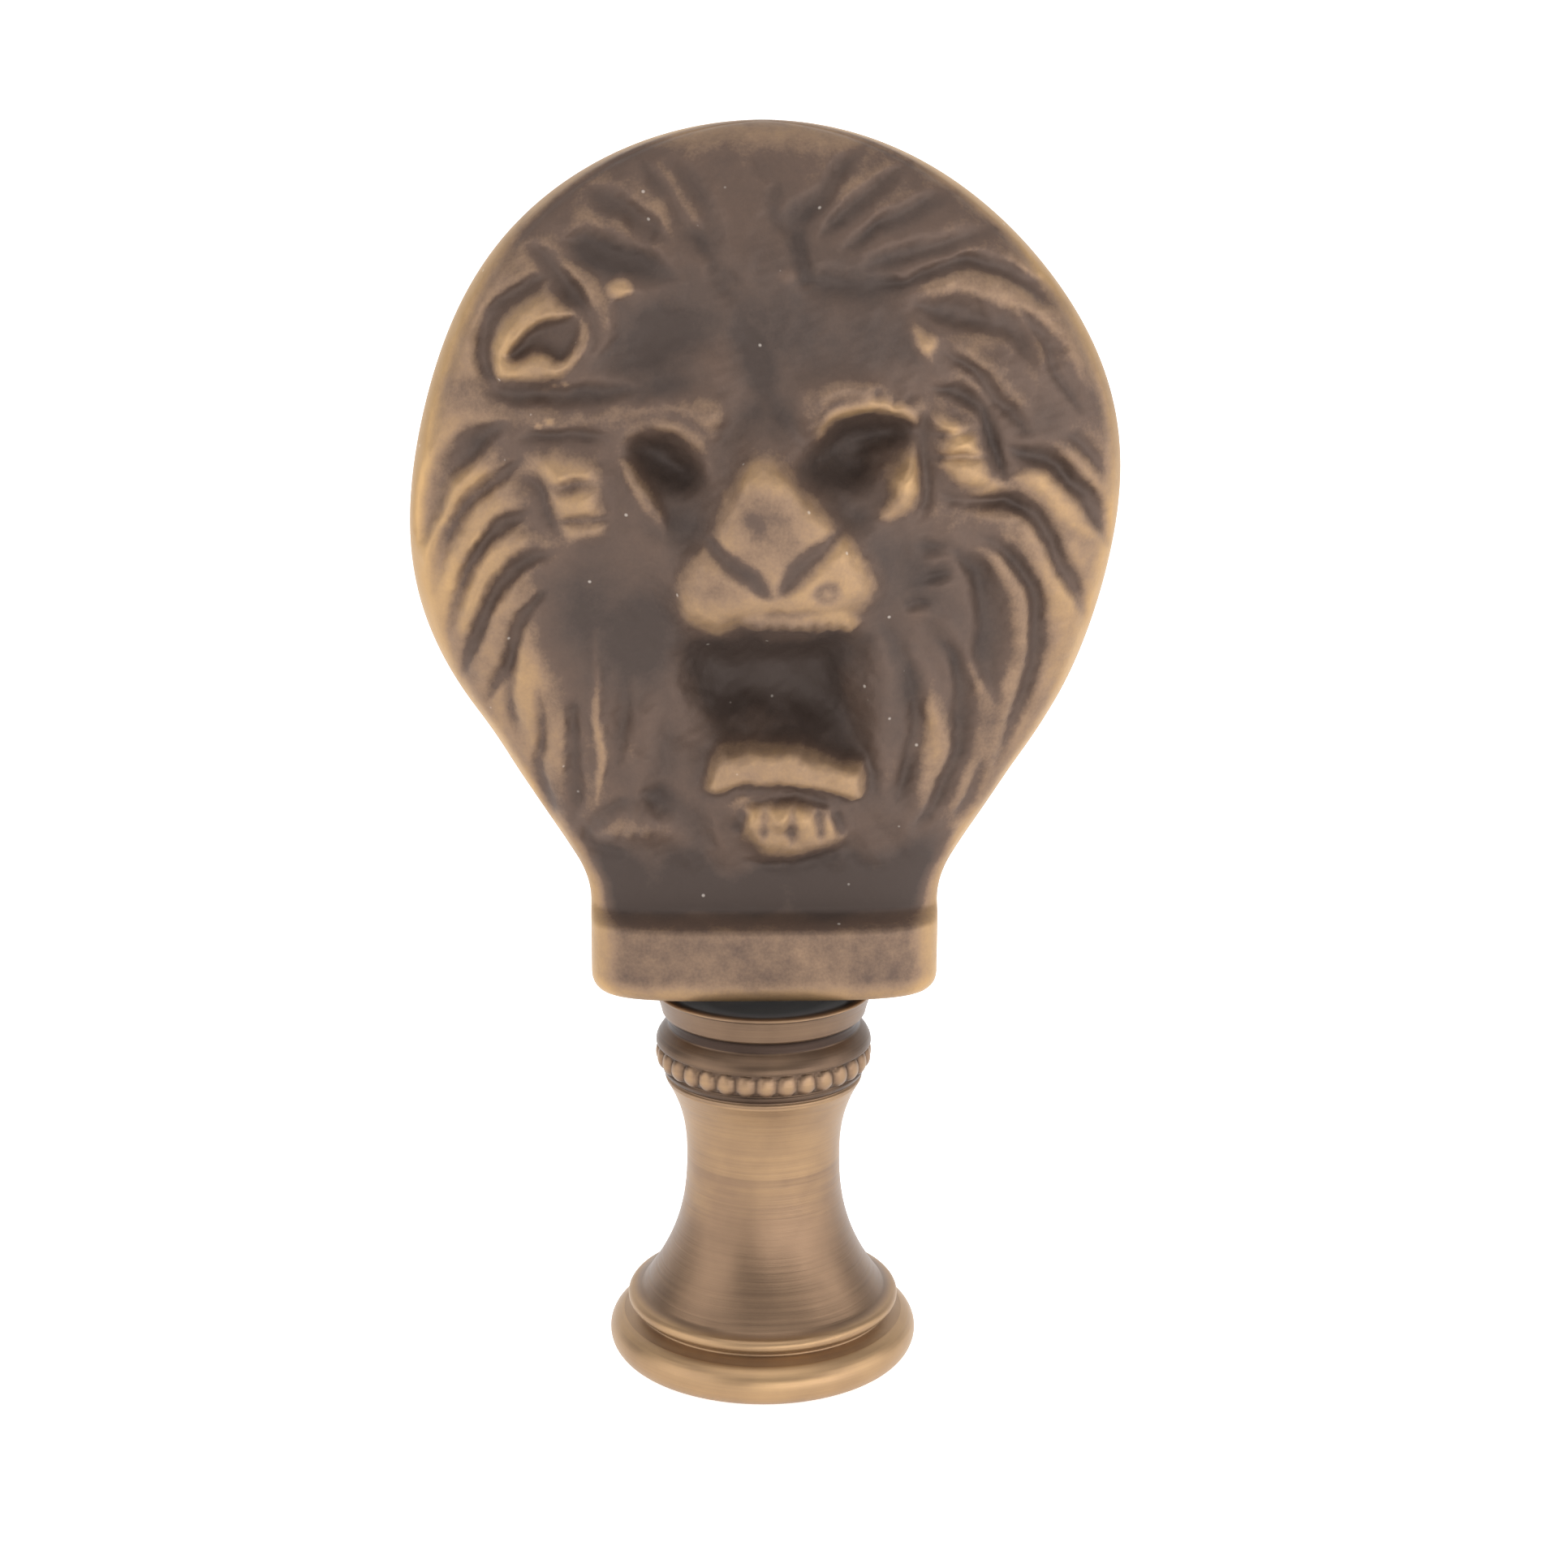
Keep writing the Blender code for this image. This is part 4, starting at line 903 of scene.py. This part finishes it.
def turned_toned_brass():
    """Brass turned on a lathe and toned: fine rings from the tool, browner in the grooves, with painted
    shade in the neck groove and the dish.
    """
    f = props().finial_finish
    material, tree, shader = new_material("turned_toned_brass")
    place = add_node(tree, "ShaderNodeTexCoord").outputs["Object"]
    hollow, wear_and_painted_light = [add_node(tree, "ShaderNodeAttribute", attribute_name=key).outputs["Fac"]
                    for key in ("hollow", "wear_and_painted_light")]
    # tool rings 0.12 mm apart, drawn out round the axis
    turned = add_node(tree, "ShaderNodeMapping", {"Vector": place}, Scale=(120.0, 120.0, 8000.0))
    rings = add_node(tree, "ShaderNodeTexNoise", {"Vector": turned.outputs[0]}, Scale=1.0, Detail=2.0)
    clouds = add_node(tree, "ShaderNodeTexNoise", {"Vector": place}, Scale=420.0, Detail=4.0)
    tone = scaled(tree, wear_and_painted_light, 0.45, 0.22)
    for source, factor in ((hollow, -0.8), (clouds.outputs["Fac"], 0.25), (rings.outputs["Fac"], 0.16)):
        tone = scaled(tree, source, factor, tone)
    colour = ramp(tree, tone, [
        (0.0, srgb(f.patina)), (0.4, srgb(f.brown)), (0.85, srgb(f.column))])
    tree.links.new(colour.outputs["Color"], shader.inputs["Base Color"])
    shader.inputs["Metallic"].default_value = 0.85
    dull = add_node(tree, "ShaderNodeMapRange", {"Value": rings.outputs["Fac"]}, To_Min=0.36, To_Max=0.5)
    tree.links.new(dull.outputs[0], shader.inputs["Roughness"])
    groove = add_node(tree, "ShaderNodeBump", {"Height": rings.outputs["Fac"]}, Strength=0.22,
                      Distance=0.06 * MM)
    tree.links.new(groove.outputs[0], shader.inputs["Normal"])
    return material


def arc_rings(radius, height, size, start, end, count):
    """Rings on an arc about (radius, height), angles in degrees from straight out."""
    a = np.radians(np.linspace(start, end, count))
    return np.stack([radius + size * np.cos(a), height + size * np.sin(a)], axis=1)


def base_rings():
    """Radius, height, bead share, thread share, darkness and wear of every turned ring.

    The profile runs from the bore's blind end out over the foot, up the bell and the column,
    round the bead band, over neck and flange, and into the flange's dish.
    """
    b = props().finial_base
    parts = []

    def add(points, hollow=0.3, wear_and_painted_light=0.5, bead=0.0, thread=0.0):
        points = np.atleast_2d(np.array(points, float))
        rest = [np.broadcast_to(np.asarray(v, float), len(points)) for v in (bead, thread, hollow, wear_and_painted_light)]
        parts.append(np.column_stack([points, *rest]))

    # threaded bore, the ring it stands on and the round foot
    bore = 0.5 * b.bore
    foot = 0.5 * b.foot
    tube = 0.5 * b.roll
    z = np.linspace(b.depth, 0.6 * MM, 120)
    add(np.column_stack([np.full(120, bore), z]), 0.6, 0.3,
        thread=smooth((b.depth - z) / MM) * smooth((z - 0.6 * MM) / (0.5 * MM)))
    add([(bore, 0.5 * MM), (bore + 0.5 * MM, 0.0), (bore + 0.6 * MM, 0.0), (0.5 * (bore + foot), 0.0),
         (foot - 1.15 * tube, 0.0)], 0.35)
    add(arc_rings(foot - tube, tube, tube, -75, 70, 24), 0.24, 0.8)
    t = np.linspace(0.0, 1.0, 7)
    dip = 0.07 * MM * np.sin(math.pi * t)
    add(np.column_stack([foot - tube * (0.66 + 0.62 * t) - dip, 1.94 * tube + 0.30 * MM * t]), 0.26, 0.6)
    # rim of the bell, bell and column with the fillet on its top
    add(arc_rings(b.rim - 0.36 * MM, RIM_Z * MM, 0.36 * MM, -70, 72, 12), 0.22, 0.7)
    share = np.linspace(0.055, 1.0, 46)
    flare = b.rim - 0.32 * MM - b.waist
    z = RIM_Z + (BELL_TOP_Z - RIM_Z) * share
    add(np.column_stack([b.waist + flare * (1.0 - share) ** 2.35, z * MM]),
        0.32, 0.32 + 0.3 * smooth((share - 0.35) / 0.6))
    share = np.linspace(0.03, 1.0, 28)
    z = BELL_TOP_Z + (COLUMN_TOP_Z - BELL_TOP_Z) * share
    add(np.column_stack([b.waist + (b.top - b.waist) * share ** 2.4, z * MM]), 0.28, 0.68)
    add(arc_rings(b.top - 0.06 * MM, (COLUMN_TOP_Z + 0.12) * MM, 0.1 * MM, -60, 80, 6), 0.3, 0.6)
    add([(b.top + out * MM, (COLUMN_TOP_Z + up) * MM) for out, up in
         ((-0.06, 0.3), (0.02, 0.36), (0.12, 0.45), (0.16, 0.56), (0.17, 0.66))], 0.6, 0.3)
    # band under the beads, its shoulder, and the neck
    t = np.linspace(-1.0, 1.0, 24)
    swell = np.sqrt(1.0 - t * t)
    lower = np.where(t < 0.0, 1.0 - swell, 0.0)
    band = b.bead_ring - BEAD_RELIEF * MM - 0.22 * MM * lower
    add(np.column_stack([band, (BEAD_Z + BEAD_HALF * t) * MM]), 0.5, 0.35, bead=swell)
    t = np.linspace(0.0, 1.0, 16)
    shoulder = b.bead_ring - 0.02 * MM - (b.bead_ring - 0.02 * MM - b.neck) * t ** 2.0
    add(np.column_stack([shoulder, (NECK_Z - 0.92 * (1.0 - t)) * MM]), 0.5, 0.3)
    # the neck groove is painted darkest: toning deepened by painted shade under the flange
    add([(b.neck + out * MM, (NECK_Z + up) * MM) for out, up in
         ((0.0, 0.1), (-0.04, 0.3), (-0.02, 0.5))], 0.8, 0.1)
    add([(b.neck + out * MM, (NECK_Z + up) * MM) for out, up in ((0.1, 0.58), (0.24, 0.66))], 0.5, 0.5)
    # underside and rim of the flange, and its dish
    t = np.linspace(0.0, 1.0, 10)
    add(np.column_stack([b.neck + 0.3 * MM + (b.flange - b.neck - 0.34 * MM) * t ** 1.2,
                         (NECK_Z + 0.76) * MM + t * (b.height - (NECK_Z + 0.88) * MM)]), 0.4, 0.36)
    add(arc_rings(b.flange - 0.12 * MM, b.height - 0.12 * MM, 0.12 * MM, 0, 90, 6), 0.3, 0.55)
    # the dish under the block is painted dark: toning and painted shade
    add([(b.flange - 0.4 * MM, b.height), (b.flange - 0.7 * MM, b.height - 0.03 * MM),
         (b.flange - 1.0 * MM, b.height - 0.2 * MM), (0.6 * b.flange, b.height - 0.42 * MM),
         (0.2 * b.flange, b.height - 0.5 * MM)], 0.6, 0.2)
    return np.concatenate(parts), b


def base_surface():
    """Rings turned round the axis, with oval beads on the band and a thread in the bore.

    A bead stands out by its relief times a half oval over angle and height. The thread goes
    in by a rounded wave of height / pitch + angle / turn, so it winds left-hand.
    """
    rings, b = base_rings()
    sides = 8 * b.beads
    a = np.linspace(0.0, 2.0 * math.pi, sides, endpoint=False)[None, :]
    radius, z, bead, thread, hollow, wear_and_painted_light = [rings[:, k][:, None] for k in range(6)]
    phase = np.mod(a * b.beads / (2.0 * math.pi) + 0.5, 1.0) * 2.0 - 1.0
    oval = np.sqrt(np.clip(bead ** 2 - (phase / BEAD_SHARE) ** 2, 0.0, 1.0))
    turn = np.mod(z / b.pitch + a / (2.0 * math.pi), 1.0)
    ridge = 0.5 - 0.5 * np.cos(2.0 * math.pi * turn)
    r = radius + BEAD_RELIEF * MM * oval - THREAD_RELIEF * MM * thread * ridge
    verts = np.stack([r * np.cos(a), r * np.sin(a), z + 0.0 * a], axis=2)
    tone = np.where(bead > 0.0, 0.53 - 0.26 * oval, hollow + 0.0 * a)
    shine = np.where(bead > 0.0, 0.24 + 0.42 * oval, wear_and_painted_light + 0.0 * a)
    return verts, {"hollow": tone, "wear_and_painted_light": shine}, b


class FINIAL_OT_mask(bpy.types.Operator):
    """Makes the carved casting and puts it in place of its plain solid"""
    bl_idname = "finial.mask"
    bl_label = "Lion mask"

    def execute(self, context):
        verts, attributes, top, foot, lean = mask_surface()
        mask = grid_mesh("carved_lion_mask", verts, (0.0, 0.0, foot), (lean, 0.0, top), attributes)
        mask.data.materials.append(patinated_cast_brass())
        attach(mask, "root")
        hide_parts("lion_mask")
        return {"FINISHED"}


class FINIAL_OT_base(bpy.types.Operator):
    """Makes the turned base with its beads and thread and puts it in place of its solid"""
    bl_idname = "finial.base"
    bl_label = "Turned base"

    def execute(self, context):
        verts, attributes, b = base_surface()
        base = grid_mesh("beaded_turned_base", verts, (0.0, 0.0, b.depth),
                         (0.0, 0.0, b.height - 0.5 * MM), attributes)
        base.data.materials.append(turned_toned_brass())
        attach(base, "root")
        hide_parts("turned_base")
        return {"FINISHED"}


def panel_light(name, place, width, height, watts, aim):
    """Soft box: a white area light at a place, facing a point."""
    light = bpy.data.lights.new(name, "AREA")
    light.shape = "RECTANGLE"
    light.size = width
    light.size_y = height
    light.energy = watts
    obj = bpy.data.objects.new(name, light)
    bpy.context.scene.collection.objects.link(obj)
    face(obj, place, aim)


def face(obj, place, aim, roll=0.0):
    """Puts an object at a place with its -Z towards a point and its Y up, then rolls it."""
    obj.location = place
    turned = (Vector(aim) - Vector(place)).to_track_quat("-Z", "Y")
    obj.rotation_euler = (turned @ Quaternion((0.0, 0.0, 1.0), math.radians(roll))).to_euler()


class FINIAL_OT_stage(bpy.types.Operator):
    """Sets up the pale floor, the soft boxes and the camera"""
    bl_idname = "finial.stage"
    bl_label = "Stage"

    def execute(self, context):
        scene = context.scene
        st = scene.finial_stage
        floor_sweep()
        world = bpy.data.worlds.new("studio_air")
        world.use_nodes = True
        air = world.node_tree.nodes["Background"]
        air.inputs["Color"].default_value = srgb("#d8dade")
        air.inputs["Strength"].default_value = 0.62
        scene.world = world
        for box in SOFT_BOXES:
            panel_light(*box, aim=(0.0, 0.0, 0.035))
        camera = bpy.data.objects.new("photo_view", bpy.data.cameras.new("photo_view"))
        scene.collection.objects.link(camera)
        e = math.radians(st.elevation)
        a = math.radians(st.turn)
        look = np.array(st.look_at)
        away = np.array([math.sin(a) * math.cos(e), -math.cos(a) * math.cos(e), math.sin(e)])
        face(camera, tuple(look + st.distance * away), tuple(look), st.roll)
        camera.data.sensor_width = SENSOR_MM
        camera.data.lens = st.focal
        camera.data.clip_start = 0.005
        scene.camera = camera
        scene.view_settings.view_transform = "Standard"
        return {"FINISHED"}


def floor_sweep():
    """Floor that curves up into a backdrop: a quarter circle between two flats, carried sideways."""
    f = props().finial_finish
    a = np.linspace(0.0, 0.5 * math.pi, 24)
    bend = np.column_stack([0.5 + 0.3 * np.sin(a), 0.3 - 0.3 * np.cos(a)])
    line = np.concatenate([[(-0.8, 0.0)], bend, [(0.8, 1.2)]])
    x = np.array([-1.2, 1.2])
    verts = np.array([[xx, yy, zz] for yy, zz in line for xx in x])
    n = len(line)
    faces = [(2 * i, 2 * i + 1, 2 * i + 3, 2 * i + 2) for i in range(n - 1)]
    mesh = bpy.data.meshes.new("pale_floor")
    mesh.from_pydata(verts.tolist(), [], faces)
    mesh.shade_smooth()
    floor = bpy.data.objects.new("pale_floor", mesh)
    bpy.context.scene.collection.objects.link(floor)
    material, _, shader = new_material("matt_white_paper")
    shader.inputs["Base Color"].default_value = srgb(f.floor)
    shader.inputs["Roughness"].default_value = 0.9
    shader.inputs["Emission Color"].default_value = srgb("#ffffff")
    shader.inputs["Emission Strength"].default_value = 0.72
    mesh.materials.append(material)


class FINIAL_PT_panel(bpy.types.Panel):
    """Lists the makers of the finial and their settings"""
    bl_label = "Lion Mask Finial"
    bl_idname = "FINIAL_PT_panel"
    bl_space_type = "VIEW_3D"
    bl_region_type = "UI"
    bl_category = "Finial"

    def draw(self, context):
        for group, maker in MAKERS:
            box = self.layout.box()
            box.operator(maker)
            settings = getattr(context.scene, group)
            for key in settings.bl_rna.properties.keys():
                if key not in {"rna_type", "name"}:
                    box.prop(settings, key)


MAKERS = (
    ("finial_mask", FINIAL_OT_mask.bl_idname),
    ("finial_base", FINIAL_OT_base.bl_idname),
    ("finial_stage", FINIAL_OT_stage.bl_idname),
)
GROUPS = {
    "finial_mask": FinialMaskSizes,
    "finial_base": FinialBaseSizes,
    "finial_finish": FinialFinish,
    "finial_stage": FinialStage,
}
CLASSES = (*GROUPS.values(), FINIAL_OT_mask, FINIAL_OT_base, FINIAL_OT_stage, FINIAL_PT_panel)


def register():
    for cls in CLASSES:
        bpy.utils.register_class(cls)
    for name, group in GROUPS.items():
        setattr(bpy.types.Scene, name, PointerProperty(type=group))


def unregister():
    for name in GROUPS:
        delattr(bpy.types.Scene, name)
    for cls in reversed(CLASSES):
        bpy.utils.unregister_class(cls)


def main():
    register()
    bpy.ops.finial.mask()
    bpy.ops.finial.base()
    bpy.ops.finial.stage()


if __name__ == "__main__":
    main()
